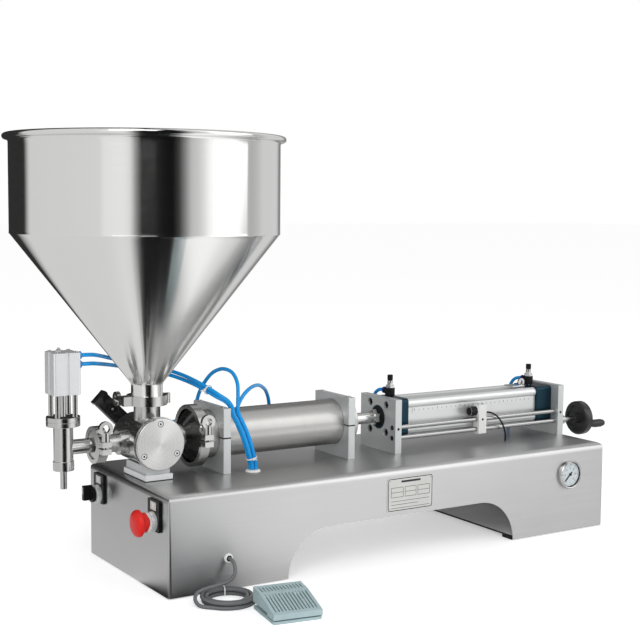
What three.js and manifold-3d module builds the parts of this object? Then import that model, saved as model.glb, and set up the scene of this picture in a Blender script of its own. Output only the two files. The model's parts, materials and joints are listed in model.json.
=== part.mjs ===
import * as THREE from 'three';
import { mergeVertices } from 'three/addons/utils/BufferGeometryUtils.js';
import Module from 'manifold-3d';

// Piston paste filler. Origin on the floor under the hopper, +X from nozzle to handwheel, -Y to the user.

// Fits shared by all pieces
const gap = 0.3;
const overrun = 5;
const mergeDistance = 1e-4;

// Bench: folded steel box with an arch cut through its front and back
const benchDepth = 292;
const benchHeight = 150;
const benchSheet = 2;
const benchTopFold = 12;
const benchSideFold = 5;
const benchOverhang = 34;
const leftLegWidth = 199;
const archSpan = 445;
const rightLegWidth = 206;
const archHeight = 73.5;
const archRadius = 73;
const benchLift = 1.5;

// Moulded trays that close the legs from below and stand on the floor
const trayThickness = 3;
const footHeight = 5;
const footLength = 40;
const footWidth = 24;
const footInset = 3;
const centreFootLength = 30;

// Pump line
const lineRise = 56;
const plateWidth = 103;
const plateThickness = 13;
const clampPlateHeight = 102;
const cylinderPlateHeight = 91;
const plateSplit = 1;
const frontPlateX = 104.4;
const clampPlateSpacing = 230;
const cylinderPlateSpacing = 94;
const endPlateSpacing = 364;

// Rotary valve
const valveRadius = 37;
const valveFront = 43;
const valveBack = 47;
const valveFlangeRadius = 41;
const valveFlangeThickness = 3.5;
const coverRadius = 39.5;
const coverThickness = 6;
const coverChamfer = 1;
const coverSpigotRadius = 25;
const coverSpigotLength = 3;
const rotorRadius = 24;
const rotorBack = 38;
const rotorPortRadius = 14;
const spindleRadius = 8;
const pedestalWidth = 39;
const pedestalFront = 39;
const pedestalBack = 34;
const saddleRise = 22.5;
const coverScrewRing = 31;
const coverScrewBore = 3.4;
const coverScrewSink = 2.5;
const coverScrewDepth = 3;

// Clamp joints between the tubes
const ferruleThickness = 5;
const gasketGap = 1;
const hopperFerruleRadius = 26.5;
const outletFerruleRadius = 23.5;
const cylinderFerruleRadius = 44;
const clampWall = 4.5;
const clampWidth = 15;
const clampLipWidth = 1.5;
const clampLipDepth = 2;
const clampSlit = 3;
const lugLength = 11;
const lugThickness = 8;
const hingeRadius = 5;
const hingeOffset = 2.5;
const boltRadius = 3;
const boltTail = 9;
const nutRadius = 6;
const nutLength = 10;
const eyeRadius = 11;
const eyeBore = 6;
const eyeThickness = 6;

// Tubes of the valve
const neckTubeRadius = 20.3;
const neckBoreRadius = 17;
const hopperJointRise = 62;
const outletTubeRadius = 13.5;
const outletBoreRadius = 10;
const outletBossRadius = 18.5;
const outletBossLength = 12;
const outletJointX = -81.6;
const pumpTubeRadius = 20;
const pumpBoreRadius = 16;
const pumpJointX = 76;
const dishDepth = 14;

// Hopper
const hopperRadius = 201;
const hopperWall = 2;
const hopperRimRise = 459;
const hopperShoulderRise = 314;
const hopperConeRise = 87;
const hopperNeckRadius = 24;
const rimRollRadius = 4.5;
const rimSides = 10;
const shoulderBead = 0.8;

// Nozzle in front of the outlet joint
const nozzleX = -134;
const nozzleRadius = 14.5;
const nozzleBore = 10.5;
const nozzleTopRise = 33;
const nozzleFootDrop = 19;
const collarRadius = 15.5;
const collarLength = 14;
const tipRadius = 5;
const tipBore = 3.4;
const tipLength = 28;
const branchRadius = 11;
const branchBore = 8;
const flangeRadius = 25;
const flangeThickness = 7;
const postRadius = 4;
const postOffset = 13.5;
const postLength = 33;
const actuatorWidth = 41;
const actuatorHeight = 62;
const actuatorGroove = 3;
const actuatorGrooveWidth = 5;
const actuatorCorner = 3;
const chamberRadius = 15;
const chamberFloor = 8;
const chamberHeight = 44;
const plungerRod = 4;
const plungerHead = 9.8;
const plungerHeadHeight = 9;
const airPistonHeight = 12;
const fittingRadius = 5;
const fittingLength = 8;
const upperFittingRise = 135.6;
const lowerFittingRise = 122.3;

// Rotary actuator behind the valve, its bar leaning by 45 degrees
const rackLean = Math.PI / 4;
const rackWidth = 24;
const rackOffset = 5;
const rackDepth = 14;
const rackLongArm = 78;
const rackShortArm = 30;
const rackCapLength = 6;
const rackCapProud = 1;
const rackGrooveWidth = 2;
const rackGrooveDepth = 1.5;
const rackStandoff = 3;
const hubRadius = 18;
const hubDepth = 36;
const hubSeat = 2.4;
const portRise = 11;
const portReach = 32;

// Product cylinder with its piston
const productRadius = 37.5;
const productBore = 32.5;
const productTail = 16;
const productShoulder = 14;
const productRestX = 285;
const pistonLength = 30;
const sealProud = 0.9;
const sealWidth = 5;
const rodRadius = 10;
const nutAcross = 30;
const lockNutX = 416.5;
const lockNutLength = 10;

// Air cylinder
const capSize = 65;
const capCorner = 6;
const frontCapLength = 28;
const rearCapLength = 35;
const barrelSize = 62;
const barrelLobe = 8.5;
const barrelWaist = 3;
const barrelBore = 25;
const capNeckRadius = 20;
const airPistonX = 725;
const airPistonLength = 25;
const screwPattern = 46.5;
const screwBore = 4.3;
const screwSinkRadius = 6.8;
const screwSinkDepth = 8;

// Stroke setting in front of the air cylinder
const settingY = -42;
const guideRise = 43;
const screwRise = 25.5;
const settingRodRadius = 4;
const sensorX = 617.5;
const sensorWidth = 17;
const sensorFront = -50;
const sensorBack = -34;
const sensorLowRise = 17.5;
const sensorHighRise = 68.5;
const sensorCorner = 1.5;
const reedRadius = 8;
const reedLength = 16;
const reedRise = 58;
const wheelX = 846;
const wheelRadius = 31;
const wheelThickness = 16;
const wheelRim = 5;
const wheelDish = 4;
const wheelHubRadius = 10;
const wheelHubLength = 8;
const shaftCollarRadius = 8;
const shaftCollarLength = 9;
const gripOrbit = 23.5;
const gripAngle = 3.55;
const gripPinRadius = 3.5;
const gripRadius = 7.5;
const gripNeck = 5.5;
const gripLength = 32;
const gripBellyShare = 0.75;

// Flow controls on the caps
const frontControlX = 453;
const rearControlX = 765;
const controlBody = 8.5;
const controlSeat = 3;
const controlHeight = 13;
const controlStem = 4;
const controlStemHeight = 13;
const controlKnob = 4.8;
const controlKnobHeight = 9;
const controlNeedle = 2;
const controlNeedleDepth = 12;
const controlArm = 5;
const controlArmLength = 16;
const controlArmRise = 42.5;

// Panel fittings on the left end and the front
const legendWidth = 38;
const legendHeight = 46;
const legendThickness = 3.5;
const legendDrop = 9;
const legendCorner = 2.5;
const panelSwitchY = 102;
const panelSwitchDrop = 44;
const panelBore = 11;
const panelBodyDepth = 14;
const contactBlock = 28;
const contactDepth = 26;
const collarChromeRadius = 14.5;
const collarChromeLength = 8;
const buttonStem = 7;
const buttonNeck = 9;
const mushroomRadius = 20;
const mushroomReach = 36;
const mushroomLength = 16;
const mushroomShoulder = 18;
const mushroomCrown = 0.8;
const selectorDisc = 12;
const selectorDiscLength = 5;
const selectorLever = 23;
const selectorLeverWidth = 8;
const selectorLeverDepth = 13;
const gaugeX = 733.7;
const gaugeDrop = 48.8;
const gaugeRadius = 25;
const gaugeProud = 7;
const gaugeDial = 21.5;
const gaugeDialDepth = 4.5;
const gaugeStem = 19.5;
const gaugeStemLength = 28;
const pointerLength = 16;
const pointerTail = 6;
const pointerWidth = 1.6;
const pointerThickness = 1.2;
const pointerHub = 2.6;
const pointerAngle = Math.PI * 1.25;
const cableGrommetX = 62.3;
const cableGrommetZ = 48.2;
const cableGrommetRadius = 7;
const cableGrommetNeck = 5.2;
const grommetProud = 3;
const hoseGrommetX = 157;
const hoseGrommetY = -50;
const hoseGrommetRadius = 12;
const hoseGrommetNeck = 9;

// Foot switch on the floor
const footSwitchX = 82;
const footSwitchY = -282;
const footSwitchTurn = -0.157;
const footSwitchWidth = 72;
const footSwitchDepth = 80;
const footBaseThickness = 4;
const switchBlockWidth = 34;
const switchBlockDepth = 30;
const switchBlockHeight = 10;
const rearBlockDepth = 8;
const rearBlockHeight = 13;
const pedalShell = 2;
const pedalPinY = -22;
const pedalPinZ = 9;
const pedalPinRadius = 2.5;
const pedalEarWidth = 6;
const pedalFrontFoot = 5.8;
const pedalSideFoot = 9.8;
const pedalBackFoot = 19;
const pedalToe = 14;
const pedalCreaseY = 14;
const pedalCreaseZ = 28.5;
const pedalHeel = 31;
const slotCount = 13;
const slotPitch = 5;
const slotWidth = 2;
const slotRowFront = -34;
const slotRowCrease = 10;
const slotRowBack = 18;
const slotRowHeel = 34;
const cableBossRadius = 5;
const cableBossLength = 6;
const cableBossX = 23;
const cableBossZ = 9;

// Cords
const hoseRadius = 3;
const sensorCableRadius = 1.5;
const footCableRadius = 2.75;
const coilX = 36;
const coilY = -194;
const coilRadius = 40.5;
const coilPitch = 6.4;
const coilTurns = 4 + 115 / 360;
const coilStart = Math.PI * 215 / 180;
const climbTurns = 0.5;
const coilStepsPerTurn = 24;
const coilSides = 6;
const coilFloor = 2.85;

// Fineness of round work
const fineSides = 32;
const roundSides = 24;
const smallSides = 16;
const tinySides = 8;
const hoseSides = 8;
const cornerSteps = 4;
const cordStepShare = 5;
const mostCordSteps = 80;
const lengthStepsShare = 20;

// Places worked out from the sizes above
const lineZ = benchHeight + lineRise;
const benchLeft = -benchOverhang;
const archLeft = benchLeft + leftLegWidth;
const archRight = archLeft + archSpan;
const benchRight = archRight + rightLegWidth;
const benchFront = -benchDepth / 2;
const rearPlateX = frontPlateX + clampPlateSpacing;
const capPlateX = rearPlateX + cylinderPlateSpacing;
const endPlateX = capPlateX + endPlateSpacing;
const valveTopJoint = lineZ + hopperJointRise;
const hopperRim = lineZ + hopperRimRise;
const hopperShoulder = lineZ + hopperShoulderRise;
const hopperConeFoot = lineZ + hopperConeRise;
const nozzleTop = lineZ + nozzleTopRise;
const nozzleFoot = lineZ - nozzleFootDrop;
const upperFittingZ = lineZ + upperFittingRise;
const lowerFittingZ = lineZ + lowerFittingRise;
const controlArmZ = lineZ + controlArmRise;
const sensorLow = benchHeight + sensorLowRise;
const sensorHigh = benchHeight + sensorHighRise;
const reedZ = benchHeight + reedRise;
const panelSwitchZ = benchHeight - panelSwitchDrop;
const gaugeZ = benchHeight - gaugeDrop;
const guideZ = benchHeight + guideRise;
const screwZ = benchHeight + screwRise;
const nozzleFlangeZ = nozzleTop + flangeThickness * 2;
const actuatorZ = nozzleFlangeZ + postLength;

const finishes = {
  brushedSteel: { color: 0xb9babb, roughness: 0.38, metalness: 1 },
  mirrorSteel: { color: 0xd4d5d6, roughness: 0.08, metalness: 1 },
  aluminium: { color: 0xc6c9ca, roughness: 0.45, metalness: 1 },
  darkAnodised: { color: 0x14222d, roughness: 0.4, metalness: 0.6 },
  blackPlastic: { color: 0x151515, roughness: 0.45, metalness: 0 },
  rubber: { color: 0x111111, roughness: 0.85, metalness: 0 },
  redPlastic: { color: 0xd0181a, roughness: 0.35, metalness: 0 },
  whitePlastic: { color: 0xf2f2ee, roughness: 0.5, metalness: 0 },
  blueHose: { color: 0x1174d0, roughness: 0.35, metalness: 0 },
  greyCable: { color: 0x7d8083, roughness: 0.55, metalness: 0 },
  greyPaint: { color: 0x8b9a9b, roughness: 0.5, metalness: 0.1 },
};

const part = new THREE.Group();
const wasm = await Module();
wasm.setup();

function add(name, geometry, finish, group = part) {
  const mesh = new THREE.Mesh(geometry, new THREE.MeshStandardMaterial(finishes[finish]));
  mesh.name = name;
  group.add(mesh);
  return mesh;
}

function volumeOf(points, faces) {
  const [a, b, c] = [new THREE.Vector3(), new THREE.Vector3(), new THREE.Vector3()];
  let total = 0;
  for (let i = 0; i < faces.length; i += 3) {
    a.fromArray(points, faces[i] * 3);
    b.fromArray(points, faces[i + 1] * 3);
    c.fromArray(points, faces[i + 2] * 3);
    total += a.dot(b.cross(c)) / 6;
  }
  return total;
}

// A closed mesh with shared vertices, without slivers, facing out
function toSolid(geometry) {
  const bare = new THREE.BufferGeometry();
  bare.setAttribute('position', geometry.getAttribute('position').clone());
  if (geometry.index) bare.setIndex(geometry.index.clone());
  const merged = mergeVertices(bare, mergeDistance);
  const points = new Float32Array(merged.getAttribute('position').array);
  const faces = [];
  for (let i = 0; i < merged.index.count; i += 3) {
    const [a, b, c] = [0, 1, 2].map((corner) => merged.index.getX(i + corner));
    if (a !== b && b !== c && c !== a) faces.push(a, b, c);
  }
  if (volumeOf(points, faces) < 0) faces.reverse();
  return new wasm.Manifold(new wasm.Mesh({
    numProp: 3, vertProperties: points, triVerts: new Uint32Array(faces),
  }));
}

function toGeometry(solid) {
  const { vertProperties, triVerts } = solid.getMesh();
  const geometry = new THREE.BufferGeometry();
  geometry.setAttribute('position', new THREE.BufferAttribute(vertProperties, 3));
  geometry.setIndex(new THREE.BufferAttribute(triVerts, 1));
  geometry.computeVertexNormals();
  return geometry;
}

function join(...pieces) {
  return toGeometry(pieces.map(toSolid).reduce((whole, piece) => whole.add(piece)));
}

function cut(body, ...tools) {
  return toGeometry(tools.map(toSolid).reduce((rest, tool) => rest.subtract(tool), toSolid(body)));
}

function common(...pieces) {
  return toGeometry(pieces.map(toSolid).reduce((whole, piece) => whole.intersect(piece)));
}

// Turns a shape built along +Y so that it lies along the named axis
function along(axis, geometry) {
  if (axis === 'x') return geometry.rotateZ(-Math.PI / 2);
  if (axis === 'z') return geometry.rotateX(Math.PI / 2);
  return geometry;
}

function bar(axis, radius, from, to, sides = roundSides) {
  const geometry = new THREE.CylinderGeometry(radius, radius, to - from, sides);
  return along(axis, geometry.translate(0, (from + to) / 2, 0));
}

// Profile points are [radius, place along the axis]
function turned(axis, profile, sides = roundSides) {
  const points = profile.map(([radius, place]) => new THREE.Vector2(radius, place));
  return toGeometry(toSolid(along(axis, new THREE.LatheGeometry(points, sides))));
}

function block(x, y, z) {
  const geometry = new THREE.BoxGeometry(x[1] - x[0], y[1] - y[0], z[1] - z[0]);
  return geometry.translate((x[0] + x[1]) / 2, (y[0] + y[1]) / 2, (z[0] + z[1]) / 2);
}

// An outline drawn in (y, z), (x, z) or (x, y) and pushed along the third axis
function prism(axis, outline, from, to, curveSegments = cornerSteps) {
  const settings = { depth: to - from, bevelEnabled: false, curveSegments };
  const geometry = new THREE.ExtrudeGeometry(outline, settings);
  if (axis === 'z') return geometry.translate(0, 0, from);
  if (axis === 'y') return geometry.translate(0, 0, -to).rotateX(Math.PI / 2);
  return geometry.translate(0, 0, from).rotateY(Math.PI / 2).rotateX(Math.PI / 2);
}

// Rectangle with its own radius at each corner: low left, low right, high right, high left
function roundedOutline([x0, x1], [y0, y1], [a, b, c, d]) {
  const shape = new THREE.Shape();
  shape.moveTo(x0 + a, y0);
  shape.lineTo(x1 - b, y0);
  if (b) shape.absarc(x1 - b, y0 + b, b, -Math.PI / 2, 0);
  shape.lineTo(x1, y1 - c);
  if (c) shape.absarc(x1 - c, y1 - c, c, 0, Math.PI / 2);
  shape.lineTo(x0 + d, y1);
  if (d) shape.absarc(x0 + d, y1 - d, d, Math.PI / 2, Math.PI);
  shape.lineTo(x0, y0 + a);
  if (a) shape.absarc(x0 + a, y0 + a, a, Math.PI, Math.PI * 1.5);
  return shape;
}

function ringPlaces(count, radius, turn = 0) {
  return Array.from({ length: count }, (_, i) => {
    const angle = turn + i * 2 * Math.PI / count;
    return [radius * Math.cos(angle), radius * Math.sin(angle)];
  });
}

function roundSection(radius, sides) {
  return new THREE.Shape(ringPlaces(sides, radius).map(([x, y]) => new THREE.Vector2(x, y)));
}

function tube(points, radius, sides, steps) {
  const path = new THREE.CatmullRomCurve3(points.map((place) => new THREE.Vector3(...place)));
  path.arcLengthDivisions = steps * lengthStepsShare;
  const settings = { steps, bevelEnabled: false, extrudePath: path };
  return toGeometry(toSolid(new THREE.ExtrudeGeometry(roundSection(radius, sides), settings)));
}

function tubeSteps(points, radius) {
  const path = new THREE.CatmullRomCurve3(points.map((place) => new THREE.Vector3(...place)));
  return Math.min(mostCordSteps, Math.round(path.getLength() / (radius * cordStepShare)));
}

// Bench

function benchEnvelope(inset) {
  const top = Math.max(benchTopFold - inset, inset);
  const side = Math.max(benchSideFold - inset, inset);
  const x = [benchLeft + inset, benchRight - inset];
  const y = [benchFront + inset, -benchFront - inset];
  const z = [benchLift - (inset ? overrun : 0), benchHeight - inset];
  return common(
    prism('x', roundedOutline(y, z, [0, 0, top, top]), x[0], x[1]),
    prism('y', roundedOutline(x, z, [0, 0, top, top]), y[0], y[1]),
    prism('z', roundedOutline(x, y, [side, side, side, side]), z[0], z[1]),
  );
}

function benchArch() {
  const z = [benchLift - overrun, archHeight];
  const outline = roundedOutline([archLeft, archRight], z, [0, 0, archRadius, archRadius]);
  return prism('y', outline, benchFront - overrun, -benchFront + overrun, cornerSteps * 2);
}

function panelHole(y) {
  return bar('x', panelBore + gap, benchLeft - overrun, benchLeft + benchSheet + overrun, smallSides)
    .translate(0, y, panelSwitchZ);
}

function buildBench() {
  const frontHoles = [[gaugeStem, gaugeX, gaugeZ, roundSides],
    [cableGrommetNeck, cableGrommetX, cableGrommetZ, smallSides]];
  const holes = frontHoles.map(([radius, x, z, sides]) => (
    bar('y', radius + gap, benchFront - overrun, benchFront + benchSheet + overrun, sides)
      .translate(x, 0, z)));
  holes.push(panelHole(-panelSwitchY), panelHole(panelSwitchY));
  holes.push(bar('z', hoseGrommetNeck + gap, benchHeight - benchSheet - overrun,
    benchHeight + overrun, smallSides).translate(hoseGrommetX, hoseGrommetY, 0));
  const shell = cut(benchEnvelope(0), benchEnvelope(benchSheet), benchArch(), ...holes);
  add('bench_housing', shell, 'brushedSteel');
}

function buildTray(name, xLow, xHigh, middleX, footXs) {
  const inner = benchDepth / 2 - benchSheet - gap;
  const corners = [benchSideFold, benchSideFold, benchSideFold, benchSideFold];
  const plate = prism('z', roundedOutline([xLow, xHigh], [-inner, inner], corners),
    footHeight, footHeight + trayThickness);
  const feet = [];
  for (const x of footXs) {
    for (const side of [-1, 1]) {
      const y = side * (inner - footInset - footWidth / 2);
      feet.push(block([x, x + footLength], [y - footWidth / 2, y + footWidth / 2],
        [0, footHeight + trayThickness / 2]));
    }
  }
  feet.push(block([middleX - centreFootLength / 2, middleX + centreFootLength / 2],
    [-footWidth, footWidth], [0, footHeight + trayThickness / 2]));
  add(name, join(plate, ...feet), 'rubber');
}

function buildTrays() {
  const wall = benchSheet + gap;
  buildTray('tray_left', benchLeft + wall, archLeft, 0,
    [benchLeft + wall + footInset, archLeft - footLength]);
  buildTray('tray_right', archRight, benchRight - wall, archRight + rightLegWidth / 2,
    [archRight, benchRight - wall - footInset - footLength]);
}

// Rotary valve and what it stands on

function buildPedestal() {
  const body = block([-pedestalWidth / 2, pedestalWidth / 2], [-pedestalFront, pedestalBack],
    [benchHeight, benchHeight + saddleRise]);
  const saddle = bar('y', valveRadius + gap, -pedestalFront - overrun, pedestalBack + overrun, fineSides);
  add('valve_pedestal', cut(body, saddle.translate(0, 0, lineZ)), 'brushedSteel');
}

// The flat end of a tube, turned about the tube's own axis
function ferrule(axis, radius, face, direction) {
  const back = face - direction * ferruleThickness;
  const lip = face - direction * ferruleThickness / 2;
  const points = [[0, back], [radius - ferruleThickness / 2, back], [radius, lip], [radius, face], [0, face]];
  return turned(axis, points);
}

function buildValveBody() {
  const hopperFace = valveTopJoint - gasketGap / 2;
  const outletFace = outletJointX + gasketGap / 2;
  const pumpFace = pumpJointX - gasketGap / 2;
  const dishBack = pumpFace - ferruleThickness;
  const barrel = join(
    bar('y', valveRadius, -valveFront, valveBack, fineSides),
    bar('y', valveFlangeRadius, -valveFront, -valveFront + valveFlangeThickness, fineSides),
  ).translate(0, 0, lineZ);
  const neck = bar('z', neckTubeRadius, lineZ, hopperFace);
  const outlet = join(
    bar('x', outletTubeRadius, outletFace, 0),
    bar('x', outletBossRadius, -valveRadius - outletBossLength, 0),
    ferrule('x', outletFerruleRadius, outletFace, -1),
  ).translate(0, 0, lineZ);
  const dish = turned('x', [
    [0, 0], [pumpTubeRadius, 0], [pumpTubeRadius, dishBack - dishDepth],
    [cylinderFerruleRadius - ferruleThickness, dishBack], [cylinderFerruleRadius, dishBack + ferruleThickness / 2],
    [cylinderFerruleRadius, pumpFace], [0, pumpFace],
  ], fineSides).translate(0, 0, lineZ);
  const dishBore = turned('x', [
    [0, 0], [pumpBoreRadius, 0], [pumpBoreRadius, dishBack - dishDepth],
    [productBore, pumpFace], [productBore, pumpFace + overrun], [0, pumpFace + overrun],
  ]).translate(0, 0, lineZ);
  const whole = join(barrel, neck, ferrule('z', hopperFerruleRadius, hopperFace, 1), outlet, dish);
  const bores = [
    bar('y', rotorRadius + gap, -valveFront - overrun, rotorBack + gap).translate(0, 0, lineZ),
    bar('y', spindleRadius + gap, 0, valveBack + overrun, smallSides).translate(0, 0, lineZ),
    bar('z', neckBoreRadius, lineZ, hopperFace + overrun),
    bar('x', outletBoreRadius, outletFace - overrun, 0).translate(0, 0, lineZ),
    dishBore,
    bar('y', coverSpigotRadius + gap, -valveFront - overrun, -valveFront + coverSpigotLength + gap)
      .translate(0, 0, lineZ),
  ];
  add('valve_body', cut(whole, ...bores), 'brushedSteel');
}

function buildValveCover() {
  const front = -valveFront - coverThickness;
  const disc = turned('y', [
    [0, front], [coverRadius - coverChamfer, front], [coverRadius, front + coverChamfer],
    [coverRadius, -valveFront], [coverSpigotRadius, -valveFront],
    [coverSpigotRadius, -valveFront + coverSpigotLength], [0, -valveFront + coverSpigotLength],
  ], fineSides);
  const sinks = ringPlaces(3, coverScrewRing, Math.PI / 2).map(([x, z]) => (
    bar('y', coverScrewBore + coverScrewSink / 2, front - overrun, front + coverScrewDepth, smallSides)
      .translate(x, 0, z)));
  add('valve_cover', cut(disc, ...sinks).translate(0, 0, lineZ), 'brushedSteel');
}

function buildValveRotor() {
  const plug = join(
    bar('y', rotorRadius, -valveFront + coverSpigotLength + gap * 2, rotorBack),
    bar('y', spindleRadius, 0, valveBack + rackStandoff + hubDepth / 2, smallSides),
  );
  const ports = [
    bar('z', rotorPortRadius, -rotorRadius - overrun, rotorRadius + overrun, smallSides),
    bar('x', rotorPortRadius, 0, rotorRadius + overrun, smallSides),
  ];
  add('valve_rotor', cut(plug, ...ports).translate(0, 0, lineZ), 'brushedSteel');
}

// Rack cylinder with a pinion hub: long arm up to the left, short arm down to the right
function buildRackActuator() {
  const left = rackOffset - rackWidth / 2;
  const right = rackOffset + rackWidth / 2;
  const front = valveBack + rackStandoff;
  const back = front + rackDepth;
  const tipRise = rackLongArm + rackCapLength;
  const body = prism('y', roundedOutline([left, right], [-rackShortArm, rackLongArm],
    [0, 0, 0, 0]), front, back);
  const capOutline = (low, high) => roundedOutline([left - rackCapProud, right + rackCapProud], [low, high],
    [rackCapProud, rackCapProud, rackCapProud, rackCapProud]);
  const caps = [[rackLongArm, tipRise], [-rackShortArm - rackCapLength, -rackShortArm]].map(([low, high]) => (
    prism('y', capOutline(low, high), front - rackCapProud, back + rackCapProud, 1)));
  const hub = bar('y', hubRadius, front - hubSeat, front + hubDepth);
  const groove = (side) => block([side - rackGrooveDepth, side + rackGrooveDepth],
    [(front + back - rackGrooveWidth) / 2, (front + back + rackGrooveWidth) / 2],
    [hubRadius + rackGrooveWidth, rackLongArm - rackGrooveWidth]);
  const leaning = cut(join(body, ...caps), groove(left), groove(right)).rotateY(-rackLean);
  const ports = [portRise, -portRise].map((rise) => (
    bar('x', fittingRadius, 0, portReach, tinySides).translate(0, front + hubDepth / 2, rise)));
  const spindleBore = bar('y', spindleRadius + gap, front - overrun, front + hubDepth / 2 + gap, smallSides);
  const whole = cut(join(leaning, hub, ...ports), spindleBore);
  add('valve_actuator', whole.translate(0, 0, lineZ), 'blackPlastic');
}

// Hopper

function buildHopper() {
  const face = valveTopJoint + gasketGap / 2;
  const inner = hopperRadius - hopperWall;
  const roll = ringPlaces(rimSides, rimRollRadius, -Math.PI / 2).slice(1, rimSides / 2 + 1)
    .map(([x, z]) => [hopperRadius + rimRollRadius + x, hopperRim - rimRollRadius + z]);
  const outside = [
    [hopperFerruleRadius, face],
    [hopperFerruleRadius, face + ferruleThickness / 2],
    [hopperNeckRadius, face + ferruleThickness],
    [hopperNeckRadius, hopperConeFoot],
    [hopperRadius - shoulderBead, hopperShoulder - shoulderBead * 2],
    [hopperRadius + shoulderBead, hopperShoulder],
    [hopperRadius, hopperShoulder + shoulderBead * 2],
    [hopperRadius, hopperRim - rimRollRadius * 2],
  ];
  const inside = [
    [inner, hopperRim],
    [inner, hopperShoulder],
    [hopperNeckRadius - hopperWall, hopperConeFoot],
    [neckBoreRadius, face + ferruleThickness],
    [neckBoreRadius, face],
  ];
  add('hopper', turned('z', [...outside, ...roll, ...inside, outside[0]], fineSides), 'mirrorSteel');
}

// Clamp drawn with its tubes along z, its bolt side at +x and its bolt along +y

function clampRing(ferruleRadius) {
  const outer = ferruleRadius + clampWall;
  const half = clampWidth / 2;
  const lip = half - clampLipWidth;
  const bore = ferruleRadius + gap;
  const mouth = ferruleRadius - clampLipDepth;
  const ring = turned('z', [
    [mouth, -half], [outer, -half], [outer, half], [mouth, half], [mouth, lip],
    [bore, ferruleThickness - clampLipWidth], [bore, -ferruleThickness + clampLipWidth],
    [mouth, -lip], [mouth, -half],
  ], fineSides);
  const boltX = outer + lugLength / 2;
  const lugs = block([outer - clampWall, outer + lugLength],
    [-clampSlit / 2 - lugThickness, clampSlit / 2 + lugThickness], [-half + gap, half - gap]);
  const slit = block([0, outer + lugLength + overrun], [-clampSlit / 2, clampSlit / 2],
    [-half - overrun, half + overrun]);
  const boltWay = bar('y', boltRadius + gap, -clampSlit, lugThickness + lugThickness, tinySides)
    .translate(boltX, 0, 0);
  const hinge = bar('z', hingeRadius, -half, half, smallSides).translate(-outer - hingeOffset, 0, 0);
  const hollow = bar('z', bore, -half - overrun, half + overrun, fineSides);
  const fittings = cut(join(lugs, hinge), hollow);
  const bolt = bar('y', boltRadius, -clampSlit / 2 - lugThickness / 2,
    clampSlit / 2 + lugThickness + nutLength + boltTail / 2, tinySides).translate(boltX, 0, 0);
  return join(cut(join(ring, fittings), slit, boltWay), bolt);
}

function clampNut(ferruleRadius) {
  const boltX = ferruleRadius + clampWall + lugLength / 2;
  const seat = clampSlit / 2 + lugThickness + gap;
  const eyeCentre = seat + nutLength + boltTail;
  const body = bar('y', nutRadius, seat, seat + nutLength + boltTail - eyeBore, smallSides);
  const eye = bar('x', eyeRadius, -eyeThickness / 2, eyeThickness / 2, smallSides).translate(0, eyeCentre, 0);
  const hole = bar('x', eyeBore, -eyeThickness, eyeThickness, smallSides).translate(0, eyeCentre, 0);
  const bore = bar('y', boltRadius + gap, seat - overrun, eyeCentre, tinySides);
  return cut(join(body, eye), hole, bore).translate(boltX, 0, 0);
}

function buildClamp(name, ferruleRadius, place, turn) {
  const group = new THREE.Group();
  group.position.set(...place);
  group.setRotationFromMatrix(turn);
  part.add(group);
  add(`${name}_clamp`, clampRing(ferruleRadius), 'mirrorSteel', group);
  add(`${name}_clamp_nut`, clampNut(ferruleRadius), 'mirrorSteel', group);
}

function buildClamps() {
  const [x, y, z] = [[1, 0, 0], [0, 1, 0], [0, 0, 1]].map((axis) => new THREE.Vector3(...axis));
  const toFront = new THREE.Matrix4().makeBasis(y.clone().negate(), z, x.clone().negate());
  const toBack = new THREE.Matrix4().makeBasis(x.clone().negate(), y, z.clone().negate());
  buildClamp('hopper', hopperFerruleRadius, [0, 0, valveTopJoint], toBack);
  buildClamp('outlet', outletFerruleRadius, [outletJointX, 0, lineZ], toFront);
  buildClamp('cylinder', cylinderFerruleRadius, [pumpJointX, 0, lineZ], toFront);
}

// Nozzle

function buildNozzleBody() {
  const face = outletJointX - gasketGap / 2 - nozzleX;
  const tipTop = nozzleFoot - collarLength;
  const column = turned('z', [
    [0, tipTop - tipLength], [tipRadius, tipTop - tipLength], [tipRadius, tipTop],
    [collarRadius, tipTop], [collarRadius, nozzleFoot], [nozzleRadius, nozzleFoot],
    [nozzleRadius, nozzleTop], [flangeRadius, nozzleTop], [flangeRadius, nozzleTop + flangeThickness],
    [0, nozzleTop + flangeThickness],
  ]);
  const branch = join(bar('x', branchRadius, 0, face), ferrule('x', outletFerruleRadius, face, 1))
    .translate(0, 0, lineZ);
  const bores = [
    bar('z', nozzleBore, nozzleFoot - collarLength / 2, nozzleTop + flangeThickness + overrun),
    bar('z', tipBore, tipTop - tipLength - overrun, nozzleFoot, tinySides),
    bar('x', branchBore, 0, face + overrun).translate(0, 0, lineZ),
  ];
  add('nozzle_body', cut(join(column, branch), ...bores).translate(nozzleX, 0, 0), 'mirrorSteel');
}

function buildNozzleBracket() {
  const low = nozzleTop + flangeThickness;
  const flange = bar('z', flangeRadius, low, nozzleFlangeZ);
  const posts = ringPlaces(4, postOffset * Math.SQRT2, Math.PI / 4).map(([x, y]) => (
    bar('z', postRadius, nozzleFlangeZ - flangeThickness / 2, actuatorZ, tinySides).translate(x, y, 0)));
  const rodWay = bar('z', plungerRod + gap, low - overrun, nozzleFlangeZ + overrun, smallSides);
  add('nozzle_bracket', cut(join(flange, ...posts), rodWay).translate(nozzleX, 0, 0), 'brushedSteel');
}

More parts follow.
